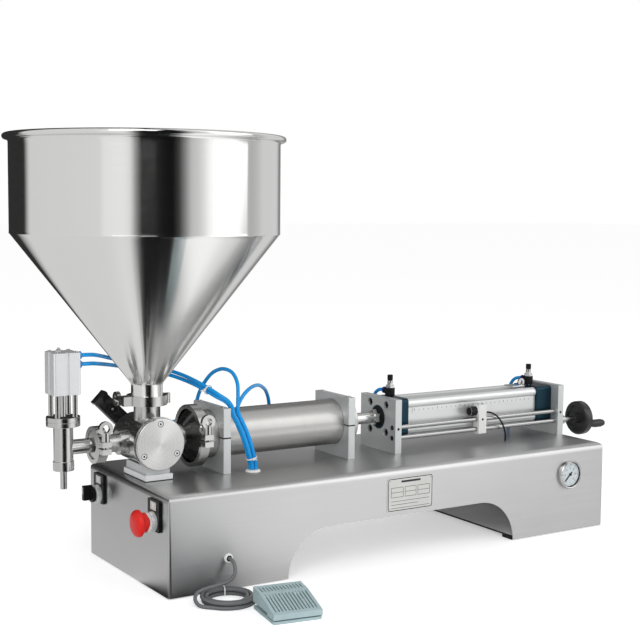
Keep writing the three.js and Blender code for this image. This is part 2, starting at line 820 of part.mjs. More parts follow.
function buildNozzleActuator() {
  const half = actuatorWidth / 2;
  const high = actuatorZ + actuatorHeight;
  const corners = [actuatorCorner, actuatorCorner, actuatorCorner, actuatorCorner];
  const shell = prism('z', roundedOutline([-half, half], [-half, half], corners), actuatorZ, high);
  const grooves = [-1, 1].flatMap((side) => [
    block([side * half - actuatorGroove, side * half + actuatorGroove],
      [-actuatorGrooveWidth / 2, actuatorGrooveWidth / 2], [actuatorZ - overrun, high + overrun]),
    block([-actuatorGrooveWidth / 2, actuatorGrooveWidth / 2],
      [side * half - actuatorGroove, side * half + actuatorGroove], [actuatorZ - overrun, high + overrun]),
  ]);
  const fittings = [upperFittingZ, lowerFittingZ].map((z) => (
    bar('x', fittingRadius, half - actuatorGroove - gap, half + fittingLength, tinySides).translate(0, 0, z)));
  const hollow = join(
    bar('z', chamberRadius, actuatorZ + chamberFloor, actuatorZ + chamberFloor + chamberHeight),
    bar('z', plungerRod + gap, actuatorZ - overrun, actuatorZ + chamberFloor * 2, smallSides),
  );
  const whole = cut(join(cut(shell, ...grooves), ...fittings), hollow);
  add('nozzle_actuator', whole.translate(nozzleX, 0, 0), 'aluminium');
}

function buildNozzlePlunger() {
  const seat = nozzleFoot - collarLength / 2 + gap;
  const chamber = actuatorZ + chamberFloor + gap;
  const profile = [
    [0, seat], [tipBore, seat], [plungerHead, seat + plungerHeadHeight / 3],
    [plungerHead, seat + plungerHeadHeight], [plungerRod, seat + plungerHeadHeight],
    [plungerRod, chamber], [chamberRadius - gap, chamber], [chamberRadius - gap, chamber + airPistonHeight],
    [0, chamber + airPistonHeight],
  ];
  add('nozzle_plunger', turned('z', profile).translate(nozzleX, 0, 0), 'brushedSteel');
}

// Product cylinder

function buildProductCylinder() {
  const face = pumpJointX + gasketGap / 2;
  const back = rearPlateX + plateThickness + productTail;
  const profile = [
    [productBore, face], [cylinderFerruleRadius, face],
    [cylinderFerruleRadius, face + ferruleThickness / 2],
    [cylinderFerruleRadius - ferruleThickness / 2, face + ferruleThickness],
    [productRadius, face + productShoulder], [productRadius, back], [productBore, back], [productBore, face],
  ];
  add('product_cylinder', turned('x', profile, fineSides).translate(0, 0, lineZ), 'brushedSteel');
}

function buildProductPiston() {
  const back = productRestX + pistonLength;
  const seal = productBore - gap;
  const land = seal - sealProud;
  const profile = [
    [0, productRestX], [land - sealProud, productRestX], [land, productRestX + sealProud],
    [seal, productRestX + sealProud * 2], [seal, productRestX + sealWidth], [land, productRestX + sealWidth],
    [land, back - sealWidth], [seal, back - sealWidth], [seal, back - sealProud], [land, back],
    [rodRadius + gap, back], [rodRadius + gap, productRestX + pistonLength / 2],
    [0, productRestX + pistonLength / 2],
  ];
  add('product_piston', turned('x', profile).translate(0, 0, lineZ), 'whitePlastic');
}

function buildPistonRod() {
  const front = productRestX + pistonLength / 2 + gap;
  const rod = bar('x', rodRadius, front, airPistonX + airPistonLength / 2, smallSides);
  const nut = bar('x', nutAcross / 2 / Math.cos(Math.PI / 6), lockNutX, lockNutX + lockNutLength, 6);
  const piston = turned('x', [
    [0, airPistonX], [barrelBore - gap, airPistonX], [barrelBore - gap, airPistonX + airPistonLength],
    [0, airPistonX + airPistonLength],
  ]);
  add('piston_rod', join(rod, nut, piston).translate(0, 0, lineZ), 'mirrorSteel');
}

// Plates across the bench

function plateOutline(height) {
  return roundedOutline([-plateWidth / 2, plateWidth / 2], [benchHeight, benchHeight + height], [0, 0, 0, 0]);
}

function buildClampPlates() {
  for (const [name, x] of [['front', frontPlateX], ['rear', rearPlateX]]) {
    const plate = prism('x', plateOutline(clampPlateHeight), x, x + plateThickness);
    const bore = bar('x', productRadius + gap, x - overrun, x + plateThickness + overrun, fineSides)
      .translate(0, 0, lineZ);
    const half = plateWidth / 2 + overrun;
    const low = block([x - overrun, x + plateThickness + overrun], [-half, half],
      [lineZ - plateSplit / 2, benchHeight + clampPlateHeight + overrun]);
    const high = block([x - overrun, x + plateThickness + overrun], [-half, half],
      [benchHeight - overrun, lineZ + plateSplit / 2]);
    add(`${name}_plate_lower`, cut(plate, bore, low), 'aluminium');
    add(`${name}_plate_upper`, cut(plate, bore, high), 'aluminium');
  }
}

function buildCylinderPlates() {
  const through = (x, radius, y, z, sides = tinySides) => (
    bar('x', radius, x - overrun, x + plateThickness + overrun, sides).translate(0, y, z));
  const capPlate = prism('x', plateOutline(cylinderPlateHeight), capPlateX, capPlateX + plateThickness);
  const screwPlaces = ringPlaces(4, screwPattern * Math.SQRT1_2, Math.PI / 4);
  const screwHoles = screwPlaces.flatMap(([y, z]) => [
    through(capPlateX, screwBore, y, lineZ + z),
    bar('x', screwSinkRadius, capPlateX - overrun, capPlateX + screwSinkDepth, tinySides)
      .translate(0, y, lineZ + z),
  ]);
  const rods = [guideZ, screwZ];
  const front = cut(capPlate, through(capPlateX, capNeckRadius + gap, 0, lineZ, roundSides), ...screwHoles,
    ...rods.map((z) => through(capPlateX, settingRodRadius + gap, settingY, z, smallSides)));
  add('cap_plate', front, 'aluminium');
  const endPlate = prism('x', plateOutline(cylinderPlateHeight), endPlateX, endPlateX + plateThickness);
  const rear = cut(endPlate,
    ...rods.map((z) => through(endPlateX, settingRodRadius + gap, settingY, z, smallSides)));
  add('end_plate', rear, 'aluminium');
}

// Air cylinder

function squareOutline(size, corner) {
  return roundedOutline([-size / 2, size / 2], [-size / 2, size / 2], [corner, corner, corner, corner]);
}

function buildAirCylinder() {
  const frontX = capPlateX + plateThickness;
  const barrelStart = frontX + frontCapLength;
  const barrelEnd = endPlateX - rearCapLength;
  const frontBlock = prism('x', squareOutline(capSize, capCorner), frontX, barrelStart);
  const neck = bar('x', capNeckRadius, capPlateX, frontX + frontCapLength / 2);
  const rodWay = bar('x', rodRadius + gap, capPlateX - overrun, barrelStart + overrun, smallSides);
  const frontPort = bar('z', controlSeat + gap, 0, capSize / 2 + overrun, tinySides)
    .translate(frontControlX, 0, 0);
  const rearPort = bar('z', controlSeat + gap, capSize / 4, capSize / 2 + overrun, tinySides)
    .translate(rearControlX, 0, 0);
  add('air_cap_front', cut(join(frontBlock, neck), rodWay, frontPort).translate(0, 0, lineZ), 'darkAnodised');
  const rearBlock = prism('x', squareOutline(capSize, capCorner), barrelEnd, endPlateX);
  add('air_cap_rear', cut(rearBlock, rearPort).translate(0, 0, lineZ), 'darkAnodised');
  const waist = barrelSize / 2 - barrelWaist;
  const lobeCentre = barrelSize / 2 - barrelLobe;
  const square = block([barrelStart, barrelEnd], [-waist, waist], [-waist, waist]);
  const lobes = ringPlaces(4, lobeCentre * Math.SQRT2, Math.PI / 4).map(([y, z]) => (
    bar('x', barrelLobe, barrelStart, barrelEnd, smallSides).translate(0, y, z)));
  const bore = bar('x', barrelBore, barrelStart - overrun, barrelEnd + overrun);
  add('air_barrel', cut(join(square, ...lobes), bore).translate(0, 0, lineZ), 'aluminium');
}

// Stroke setting

function buildStrokeSetting() {
  const rodEnd = endPlateX + plateThickness;
  const guide = bar('x', settingRodRadius, capPlateX + gap, rodEnd - gap, smallSides);
  add('guide_rod', guide.translate(0, settingY, guideZ), 'mirrorSteel');
  const wheelFace = wheelX - wheelHubLength;
  const screw = join(
    bar('x', settingRodRadius, capPlateX + gap, wheelX + wheelThickness / 2, smallSides),
    bar('x', shaftCollarRadius, rodEnd + gap, rodEnd + gap + shaftCollarLength, smallSides),
  );
  add('lead_screw', screw.translate(0, settingY, screwZ), 'mirrorSteel');
  const corners = [sensorCorner, sensorCorner, sensorCorner, sensorCorner];
  const body = prism('x', roundedOutline([sensorFront, sensorBack], [sensorLow, sensorHigh], corners),
    sensorX - sensorWidth / 2, sensorX + sensorWidth / 2);
  const reed = bar('x', reedRadius, sensorX - sensorWidth / 2 - reedLength, sensorX, smallSides)
    .translate(0, sensorBack - reedRadius + gap, reedZ);
  const ways = [guideZ, screwZ].map((z) => bar('x', settingRodRadius + gap,
    sensorX - sensorWidth - reedLength, sensorX + sensorWidth, smallSides).translate(0, settingY, z));
  add('sensor_block', cut(join(body, reed), ...ways), 'whitePlastic');
  buildHandwheel(wheelFace);
}

function buildHandwheel(hubFace) {
  const outer = wheelX + wheelThickness;
  const rimInner = wheelRadius - wheelRim * 2;
  const bore = settingRodRadius + gap;
  const wheel = turned('x', [
    [bore, hubFace], [wheelHubRadius, hubFace], [wheelHubRadius, wheelX + wheelDish],
    [rimInner, wheelX + wheelDish], [rimInner + wheelRim / 2, wheelX],
    [wheelRadius - wheelRim / 2, wheelX], [wheelRadius, wheelX + wheelRim / 2],
    [wheelRadius, outer - wheelRim / 2], [wheelRadius - wheelRim / 2, outer],
    [rimInner + wheelRim / 2, outer], [rimInner, outer - wheelDish], [wheelHubRadius, outer - wheelDish],
    [wheelHubRadius, outer - wheelDish / 2], [0, outer - wheelDish / 2],
    [0, wheelX + wheelThickness / 2 + gap], [bore, wheelX + wheelThickness / 2 + gap], [bore, hubFace],
  ]);
  const orbitY = gripOrbit * Math.cos(gripAngle);
  const orbitZ = gripOrbit * Math.sin(gripAngle);
  const pin = bar('x', gripPinRadius, wheelX + wheelThickness / 2, outer + gripLength, smallSides)
    .translate(0, orbitY, orbitZ);
  add('handwheel', join(wheel, pin).translate(0, settingY, screwZ), 'blackPlastic');
  const gripStart = outer + gap;
  const grip = turned('x', [
    [gripPinRadius + gap, gripStart], [gripNeck, gripStart], [gripRadius, gripStart + gripLength / 3],
    [gripRadius, gripStart + gripLength * gripBellyShare], [gripNeck, gripStart + gripLength],
    [gripPinRadius + gap, gripStart + gripLength], [gripPinRadius + gap, gripStart],
  ], smallSides);
  add('crank_grip', grip.translate(0, settingY + orbitY, screwZ + orbitZ), 'blackPlastic');
}

// Flow controls

function buildFlowControl(name, x) {
  const seat = lineZ + capSize / 2;
  const bodyTop = seat + controlSeat + controlHeight;
  const stemTop = bodyTop + controlStemHeight;
  const column = turned('z', [
    [0, seat - controlSeat], [controlSeat, seat - controlSeat], [controlSeat, seat],
    [controlBody - controlSeat / 2, seat], [controlBody, seat + controlSeat], [controlBody, bodyTop],
    [controlStem, bodyTop], [controlStem, stemTop], [0, stemTop],
  ], smallSides);
  const arm = bar('y', controlArm, 0, controlArmLength, smallSides).translate(0, 0, controlArmZ);
  const needleWay = bar('z', controlNeedle + gap, stemTop - controlNeedleDepth - gap, stemTop + overrun, tinySides);
  add(`${name}_flow_control`, cut(join(column, arm), needleWay).translate(x, 0, 0), 'blackPlastic');
  const knob = turned('z', [
    [0, stemTop - controlNeedleDepth], [controlNeedle, stemTop - controlNeedleDepth],
    [controlNeedle, stemTop + gap], [controlKnob, stemTop + gap], [controlKnob, stemTop + controlKnobHeight],
    [0, stemTop + controlKnobHeight],
  ], smallSides);
  add(`${name}_flow_knob`, knob.translate(x, 0, 0), 'blackPlastic');
}

// Panel fittings. The left end faces -x

function legendPlate() {
  const low = -legendHeight / 2 + legendDrop;
  const corners = [legendCorner, legendCorner, legendCorner, legendCorner];
  const outline = roundedOutline([-legendWidth / 2, legendWidth / 2], [low, low + legendHeight], corners);
  return prism('x', outline, benchLeft - legendThickness, benchLeft);
}

function panelBody() {
  const inside = benchLeft + benchSheet;
  const collarFront = benchLeft - legendThickness - collarChromeLength;
  return join(
    legendPlate(),
    bar('x', collarChromeRadius, collarFront, benchLeft - legendThickness / 2),
    bar('x', panelBore, benchLeft - legendThickness / 2, inside + panelBodyDepth, smallSides),
    block([inside + panelBodyDepth / 2, inside + panelBodyDepth + contactDepth],
      [-contactBlock / 2, contactBlock / 2], [-contactBlock / 2, contactBlock / 2]),
  );
}

function buildPanelSwitches() {
  const stemWay = (depth) => bar('x', buttonStem + gap, benchLeft - mushroomReach, benchLeft + depth, smallSides);
  const place = (geometry, side) => geometry.translate(0, side * panelSwitchY, panelSwitchZ);
  add('stop_body', place(cut(panelBody(), stemWay(panelBodyDepth)), -1), 'blackPlastic');
  const face = benchLeft - mushroomReach;
  const neck = face + mushroomLength;
  const collarFront = benchLeft - legendThickness - collarChromeLength;
  const half = (neck + face) / 2;
  const mushroom = turned('x', [
    [0, face], [mushroomRadius / 2, face + mushroomCrown], [mushroomShoulder, (half + face) / 2],
    [mushroomRadius, half], [mushroomShoulder, neck - mushroomCrown], [buttonNeck, neck],
    [buttonNeck, collarFront - panelBodyDepth / 2 + gap], [buttonStem, collarFront - panelBodyDepth / 2 + gap],
    [buttonStem, benchLeft + benchSheet], [0, benchLeft + benchSheet],
  ]);
  add('stop_button', place(mushroom, -1), 'redPlastic');
  add('selector_body', place(cut(panelBody(), stemWay(panelBodyDepth)), 1), 'blackPlastic');
  const discFront = collarFront - gap - selectorDiscLength;
  const lever = block([discFront - selectorLeverDepth, discFront + selectorDiscLength / 2],
    [-selectorLeverWidth / 2, selectorLeverWidth / 2], [-selectorLever / 3, selectorLever - selectorLever / 3]);
  const knob = join(
    bar('x', selectorDisc, discFront, collarFront - gap),
    bar('x', buttonStem, collarFront - gap * 2, benchLeft + benchSheet, smallSides),
    lever,
  );
  add('selector_knob', place(knob, 1), 'blackPlastic');
}

function buildGauge() {
  const dialFace = benchFront - gaugeProud + gaugeDialDepth;
  const profile = [
    [0, benchFront + gaugeStemLength], [gaugeStem, benchFront + gaugeStemLength], [gaugeStem, benchFront],
    [gaugeRadius, benchFront], [gaugeRadius, benchFront - gaugeProud / 2],
    [gaugeRadius - gaugeProud / 4, benchFront - gaugeProud], [gaugeDial, benchFront - gaugeProud],
    [gaugeDial, dialFace], [0, dialFace],
  ];
  add('gauge_case', turned('y', profile).translate(gaugeX, 0, gaugeZ), 'mirrorSteel');
  const near = dialFace - gap - pointerThickness;
  const needle = block([-pointerTail, pointerLength], [near, dialFace - gap],
    [-pointerWidth / 2, pointerWidth / 2]);
  const hub = bar('y', pointerHub, near - pointerThickness / 2, dialFace - gap, smallSides);
  const pointer = join(needle, hub).rotateY(-pointerAngle).translate(gaugeX, 0, gaugeZ);
  add('gauge_pointer', pointer, 'blackPlastic');
}

function buildGrommets() {
  const front = benchFront - grommetProud;
  const back = benchFront + benchSheet + grommetProud;
  const cable = turned('y', [
    [0, front], [cableGrommetRadius - grommetProud / 2, front], [cableGrommetRadius, benchFront],
    [cableGrommetNeck, benchFront], [cableGrommetNeck, back], [0, back],
  ], smallSides);
  add('cable_grommet', cable.translate(cableGrommetX, 0, cableGrommetZ), 'whitePlastic');
  const top = benchHeight + grommetProud;
  const low = benchHeight - benchSheet - grommetProud;
  const hose = turned('z', [
    [0, low], [hoseGrommetNeck, low], [hoseGrommetNeck, benchHeight], [hoseGrommetRadius, benchHeight],
    [hoseGrommetRadius - grommetProud / 2, top], [0, top],
  ], smallSides);
  add('hose_grommet', hose.translate(hoseGrommetX, hoseGrommetY, 0), 'whitePlastic');
}

// Foot switch, drawn with its toe towards -y

function pedalOutline(inset) {
  const half = footSwitchDepth / 2;
  const drop = inset ? overrun : 0;
  const shape = new THREE.Shape();
  shape.moveTo(-half + inset, pedalFrontFoot - drop);
  shape.lineTo(half - inset, pedalFrontFoot - drop);
  shape.lineTo(half - inset, pedalHeel - inset);
  shape.lineTo(pedalCreaseY, pedalCreaseZ - inset);
  shape.lineTo(-half + inset * 2, pedalToe - inset);
  shape.lineTo(-half + inset, pedalToe - inset * 2);
  return shape;
}

function pedalSlots() {
  const tools = [];
  const low = pedalFrontFoot + footBaseThickness;
  for (let i = 0; i < slotCount; i += 1) {
    const x = (i - (slotCount - 1) / 2) * slotPitch;
    const across = [x - slotWidth / 2, x + slotWidth / 2];
    tools.push(block(across, [slotRowFront, slotRowCrease], [low, pedalHeel + overrun]));
    tools.push(block(across, [slotRowBack, slotRowHeel], [low, pedalHeel + overrun]));
  }
  return tools;
}

function buildFootSwitch() {
  const group = new THREE.Group();
  group.position.set(footSwitchX, footSwitchY, 0);
  group.rotation.z = footSwitchTurn;
  part.add(group);
  const halfWidth = footSwitchWidth / 2;
  const halfDepth = footSwitchDepth / 2;
  const innerHalf = halfWidth - pedalShell - gap;
  const rear = halfDepth - pedalShell;
  const corners = [footBaseThickness, footBaseThickness, footBaseThickness, footBaseThickness];
  const plate = prism('z', roundedOutline([-halfWidth, halfWidth], [-halfDepth, halfDepth], corners),
    0, footBaseThickness);
  const switchBlock = block([-switchBlockWidth / 2, switchBlockWidth / 2],
    [pedalPinY + pedalEarWidth, pedalPinY + pedalEarWidth + switchBlockDepth],
    [footBaseThickness / 2, footBaseThickness + switchBlockHeight]);
  const rearBlock = block([-innerHalf + pedalEarWidth, innerHalf - gap], [rear - rearBlockDepth, halfDepth],
    [footBaseThickness / 2, rearBlockHeight]);
  const ears = [-1, 1].map((side) => block(
    [side * (innerHalf - pedalEarWidth / 2) - pedalEarWidth / 2, side * (innerHalf - pedalEarWidth / 2) + pedalEarWidth / 2],
    [pedalPinY - pedalEarWidth / 2, pedalPinY + pedalEarWidth / 2],
    [footBaseThickness / 2, pedalPinZ + pedalPinRadius * 2]));
  const pin = bar('x', pedalPinRadius, -halfWidth - gap, halfWidth + gap, tinySides)
    .translate(0, pedalPinY, pedalPinZ);
  const boss = bar('y', cableBossRadius, rear - rearBlockDepth / 2, halfDepth + cableBossLength, smallSides)
    .translate(cableBossX, 0, cableBossZ);
  add('foot_base', join(plate, switchBlock, rearBlock, ...ears, pin, boss), 'greyPaint', group);
  const outer = prism('x', pedalOutline(0), -halfWidth, halfWidth);
  const inner = prism('x', pedalOutline(pedalShell), -halfWidth + pedalShell, halfWidth - pedalShell);
  const sideTrim = block([-halfWidth - overrun, halfWidth + overrun], [pedalPinY + pedalEarWidth, halfDepth + overrun],
    [0, pedalSideFoot]);
  const backTrim = block([-halfWidth + pedalShell, halfWidth - pedalShell], [rear - overrun, halfDepth + overrun],
    [0, pedalBackFoot]);
  const pinWay = bar('x', pedalPinRadius + gap, -halfWidth - overrun, halfWidth + overrun, smallSides)
    .translate(0, pedalPinY, pedalPinZ);
  add('foot_pedal', cut(outer, inner, sideTrim, backTrim, pinWay, ...pedalSlots()), 'greyPaint', group);
}

// Cords. Each route is a list of chosen points

const nozzleHoseUpper = [
  [153.6, -53.4, 153.3], [153.4, -53.4, 161], [148.6, -52.9, 180], [140.6, -51.9, 205], [130.6, -50.4, 228],
  [122.8, -49.4, 243], [120.6, -48.2, 254], [115.5, -44, 263], [107, -34, 270.5], [98, -16, 279.5],
  [88, 4, 288], [77, 24, 295.5], [64, 40, 301.5], [48, 52, 306.5], [26, 58, 311.5], [3, 57.5, 317],
  [-21, 51.5, 323], [-45, 39.5, 330], [-66, 21, 336], [-84, 6, 340.3], [-97, 0.6, 341.5], [-105.2, 0, 341.6],
];
const nozzleHoseLower = [
  [153.6, -46.6, 153.3], [153.4, -46.6, 161], [148.6, -46.1, 180], [140.6, -45.1, 205], [130.6, -43.6, 228],
  [122.8, -42.6, 243], [120.6, -41, 253.5], [115.5, -36.5, 260.5], [106, -27, 267], [97, -9, 275],
  [87, 11, 283], [76, 30, 289.5], [63, 45, 295], [47, 57, 300], [26, 63, 304.5], [3, 62, 309.5],
  [-20, 54, 314], [-43, 40, 319], [-64, 22, 323.5], [-84, 7, 327.2], [-97, 0.6, 328.2], [-105.2, 0, 328.3],
];
const valveHoseHigh = [
  [160.4, -53.4, 153.3], [160.2, -53.4, 161], [155.8, -52.9, 180], [148.4, -51.9, 205], [138.8, -50.4, 228],
  [131.6, -49.4, 243], [131.8, -46.5, 257], [135.5, -40, 273], [140.5, -28, 288], [141, -10, 301.5],
  [134.5, 8, 305.5], [126, 25, 298.5], [119, 40, 282], [115.5, 52, 264], [113.5, 60, 246], [108, 66, 230],
  [97, 69, 220], [80, 69.5, 217], [60, 68.5, 217], [45, 68, 217], [32.3, 68, 217],
];
const valveHoseLow = [
  [160.4, -46.6, 153.3], [160.2, -46.6, 161], [155.8, -46.1, 180], [148.4, -45.1, 205], [138.8, -43.6, 228],
  [132, -42.6, 243], [136, -40, 254.5], [147, -35, 267], [160, -27, 274], [176, -14, 277],
  [193, 0, 276.5], [211, 17, 270.5], [229, 35, 259], [242, 49, 240], [246, 56, 219], [238, 61, 203],
  [220, 64.5, 196], [195, 67, 195], [165, 69, 195], [135, 70, 195], [105, 70.5, 195], [80, 69.5, 195],
  [60, 68.5, 195], [45, 68, 195], [32.3, 68, 195],
];
const cylinderHoseFront = [
  [453, 16.3, 248.5], [453, 20, 248.5], [453, 26, 248.2], [453, 33.5, 246.3], [453, 40.5, 242.4],
  [453, 46.5, 236.3], [453, 50.4, 229], [453, 52, 221], [453, 52.3, 210], [453, 52.3, 198],
  [453, 52.3, 186], [453, 52.3, 174], [453, 52.3, 162], [453, 52.3, 155], [453, 52.3, 150.3],
];
const cylinderHoseRear = [
  [765, 16.3, 248.5], [765, 20, 248.5], [765, 26, 248.2], [765, 33.5, 246.3], [765, 40.5, 242.4],
  [765, 46.5, 236.3], [765, 50.4, 229], [765, 52, 221], [765, 52.3, 210], [765, 52.3, 198],
  [765, 52.3, 186], [765, 52.3, 174], [765, 52.3, 162], [765, 52.3, 155], [765, 52.3, 150.3],
];
const sensorCable = [
  [626.4, -44, 204], [630, -44.3, 204], [638, -46.5, 203], [648, -50, 197.5], [657, -52.5, 187],
  [664, -53, 174], [668, -52, 162], [669, -51, 156], [669, -51, 150.3],
];
const footCableNear = [
  [62.3, -149.3, 48.2], [62.3, -155, 48], [62.6, -162, 45], [62.4, -167, 38], [59.5, -170.5, 30.5],
  [53, -172.5, 25], [44, -174, 22], [32, -175, 20.4], [18, -175.5, 19], [5, -175.6, 17.2],
  [-5.5, -177.4, 14], [-11.5, -184.5, 9], [-12.3, -195, 4.2], [-9.8, -203.4, 3], [-5, -209.1, 2.85],
  [-1.2, -213.05, 2.85],
];
const footCableFar = [
  [74.75, -209.7, 9.25], [78.2, -205.4, 9.2], [84.5, -200.5, 7.4], [92.5, -198.6, 5.4], [102, -201.5, 4.2],
  [110, -209.5, 4], [114, -220.5, 5.4], [113.6, -231, 7.9], [112.3, -239.7, 9],
];

// Spirals in on the floor, climbs where it turns back, and spirals out on top
function coilPlace(turn) {
  const half = coilTurns / 2;
  const radius = coilRadius - coilPitch * (half - Math.abs(turn - half));
  const climb = THREE.MathUtils.clamp((turn - half) / climbTurns + climbTurns, 0, 1);
  const angle = coilStart + turn * 2 * Math.PI;
  const z = coilFloor + coilPitch * climb;
  return new THREE.Vector3(coilX + radius * Math.cos(angle), coilY + radius * Math.sin(angle), z);
}

function coilPoints() {
  const steps = Math.round(coilTurns * coilStepsPerTurn);
  const points = Array.from({ length: steps + 1 }, (_, i) => coilPlace(coilTurns * i / steps));
  const lead = (end, beside) => end.clone().add(end.clone().sub(beside).setLength(footCableRadius * 2));
  return [lead(points[0], points[1]), ...points, lead(points[steps], points[steps - 1])];
}

function leastGap(points, radius) {
  let least = Infinity;
  const apart = coilStepsPerTurn / 2;
  points.forEach((place, i) => points.slice(i + apart).forEach((other) => {
    least = Math.min(least, place.distanceTo(other) - radius * 2);
  }));
  return least;
}

function buildCoil() {
  const points = coilPoints();
  console.log(`foot cable coil: least gap to itself ${leastGap(points, footCableRadius).toFixed(2)} mm`);
  const places = points.map((place) => place.toArray());
  add('foot_cable_coil', tube(places, footCableRadius, coilSides, points.length - 1), 'greyCable');
}

function buildCords() {
  const hoses = {
    nozzle_hose_upper: nozzleHoseUpper,
    nozzle_hose_lower: nozzleHoseLower,
    valve_hose_high: valveHoseHigh,
    valve_hose_low: valveHoseLow,
    cylinder_hose_front: cylinderHoseFront,
    cylinder_hose_rear: cylinderHoseRear,
  };
  for (const [name, points] of Object.entries(hoses)) {
    add(name, tube(points, hoseRadius, hoseSides, tubeSteps(points, hoseRadius)), 'blueHose');
  }
  add('sensor_cable', tube(sensorCable, sensorCableRadius, hoseSides, tubeSteps(sensorCable, hoseRadius)),
    'blackPlastic');
  for (const [name, points] of [['foot_cable_near', footCableNear], ['foot_cable_far', footCableFar]]) {
    add(name, tube(points, footCableRadius, hoseSides, tubeSteps(points, footCableRadius)), 'greyCable');
  }
  buildCoil();
}

buildBench();
buildTrays();
buildPedestal();
buildValveBody();
buildValveCover();
buildValveRotor();
buildRackActuator();
buildHopper();
buildClamps();
buildNozzleBody();
buildNozzleBracket();
buildNozzleActuator();
buildNozzlePlunger();
buildProductCylinder();
buildProductPiston();
buildPistonRod();
buildClampPlates();
buildCylinderPlates();
buildAirCylinder();
buildStrokeSetting();
buildFlowControl('front', frontControlX);
buildFlowControl('rear', rearControlX);
buildPanelSwitches();
buildGauge();
buildGrommets();
buildFootSwitch();
buildCords();

export default part;
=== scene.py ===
import bpy
import json
from math import atan2, cos, degrees, hypot, pi, radians, sin, tau
from mathutils import Matrix, Vector

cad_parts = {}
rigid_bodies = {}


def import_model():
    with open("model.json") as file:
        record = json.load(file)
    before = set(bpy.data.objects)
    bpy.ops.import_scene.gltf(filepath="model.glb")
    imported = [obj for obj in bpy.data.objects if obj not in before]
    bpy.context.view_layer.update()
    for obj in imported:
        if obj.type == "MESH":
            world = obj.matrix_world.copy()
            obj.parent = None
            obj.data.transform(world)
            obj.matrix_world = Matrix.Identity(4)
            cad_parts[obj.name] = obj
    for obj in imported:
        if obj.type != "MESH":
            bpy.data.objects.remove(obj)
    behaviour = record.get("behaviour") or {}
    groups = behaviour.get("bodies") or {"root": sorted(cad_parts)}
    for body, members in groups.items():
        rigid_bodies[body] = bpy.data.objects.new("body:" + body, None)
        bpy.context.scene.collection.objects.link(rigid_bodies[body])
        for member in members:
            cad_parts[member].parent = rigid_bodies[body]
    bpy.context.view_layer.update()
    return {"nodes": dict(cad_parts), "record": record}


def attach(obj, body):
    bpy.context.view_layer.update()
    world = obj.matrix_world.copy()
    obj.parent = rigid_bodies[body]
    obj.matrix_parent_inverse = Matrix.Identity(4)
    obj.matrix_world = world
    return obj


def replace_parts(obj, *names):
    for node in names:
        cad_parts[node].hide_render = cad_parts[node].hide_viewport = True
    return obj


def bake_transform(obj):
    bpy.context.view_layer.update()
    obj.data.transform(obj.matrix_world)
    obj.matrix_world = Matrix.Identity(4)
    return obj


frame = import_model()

nodes = frame["nodes"]
record = frame["record"]
bodyOf = {node: body for body, names in record["behaviour"]["bodies"].items() for node in names}
slotOf = {part["node"]: part["material_slot"] for part in record["subparts"]}
mm = 0.001  # the sizes below are in millimetres
pumpLine = 206  # height of the line that valve, pump and air cylinder share


# ---- camera and cords, the cords' points measured against this view

cameraView = {"place": (-805.7, -1760.1, 565.6), "yaw": 0.565, "pitch": 0.0906, "roll": 0.0088, "lens": 71.7,
              "film": 36, "nearest": 0.05, "farthest": 60}


def addCamera(view):
    yaw, pitch, roll = view["yaw"], view["pitch"], view["roll"]
    ahead = Vector((sin(yaw) * cos(pitch), cos(yaw) * cos(pitch), -sin(pitch)))
    right = Vector((cos(yaw), -sin(yaw), 0))
    up = right.cross(ahead)
    tilted = right * cos(roll) + up * sin(roll)
    upright = up * cos(roll) - right * sin(roll)
    bpy.ops.object.camera_add(location=Vector(view["place"]) * mm)
    eye = bpy.context.object
    turn = Matrix((tilted, upright, -ahead)).transposed().to_4x4()
    eye.matrix_world = Matrix.Translation(Vector(view["place"]) * mm) @ turn
    eye.data.lens = view["lens"]
    eye.data.sensor_width = view["film"]
    eye.data.clip_start, eye.data.clip_end = view["nearest"], view["farthest"]
    bpy.context.scene.camera = eye


addCamera(cameraView)


def deselectAll():
    bpy.ops.object.select_all(action="DESELECT")


def added(operator, **settings):
    # a new shape, alone and selected
    deselectAll()
    operator(**settings)
    return bpy.context.object


def makeActive(obj):
    deselectAll()
    obj.select_set(True)
    bpy.context.view_layer.objects.active = obj


def smoothRoute(points, step):
    # the same centripetal curve that the solids follow, in short even steps
    spots = [Vector(point) for point in points]
    spots = [spots[0] * 2 - spots[1]] + spots + [spots[-1] * 2 - spots[-2]]
    route = []
    for a, b, c, d in zip(spots, spots[1:], spots[2:], spots[3:]):
        ab, bc, cd = [max((q - p).length ** 0.5, 1e-6) for p, q in ((a, b), (b, c), (c, d))]
        leave = ((b - a) / ab - (c - a) / (ab + bc) + (c - b) / bc) * bc
        arrive = ((c - b) / bc - (d - b) / (bc + cd) + (d - c) / cd) * bc
        count = max(2, round((c - b).length / step))
        for i in range(count):
            t = i / count
            route.append(b * (2 * t ** 3 - 3 * t ** 2 + 1) + leave * (t ** 3 - 2 * t ** 2 + t)
                         + c * (3 * t ** 2 - 2 * t ** 3) + arrive * (t ** 3 - t ** 2))
    route.append(spots[-2])
    return route


def routeLength(route):
    return sum((b - a).length for a, b in zip(route, route[1:]))


cordSizes = {"hose": 3, "sensor": 1.5, "foot": 2.75, "hoseStep": 3, "sensorStep": 2, "leastStep": 0.4,
             "roundness": 5}


def hoseTube(name, route, radius):
    # a round line along the route, made a mesh so that its size is exact
    line = bpy.data.curves.new(name, "CURVE")
    line.dimensions = "3D"
    spline = line.splines.new("POLY")
    spline.points.add(len(route) - 1)
    for point, spot in zip(spline.points, route):
        point.co = (*(spot * mm), 1)
    line.bevel_depth = radius * mm
    line.bevel_resolution = cordSizes["roundness"]
    line.use_fill_caps = True
    obj = bpy.data.objects.new(name, line)
    bpy.context.collection.objects.link(obj)
    makeActive(obj)
    bpy.ops.object.convert(target="MESH")
    bpy.ops.object.shade_smooth()
    return bpy.context.object


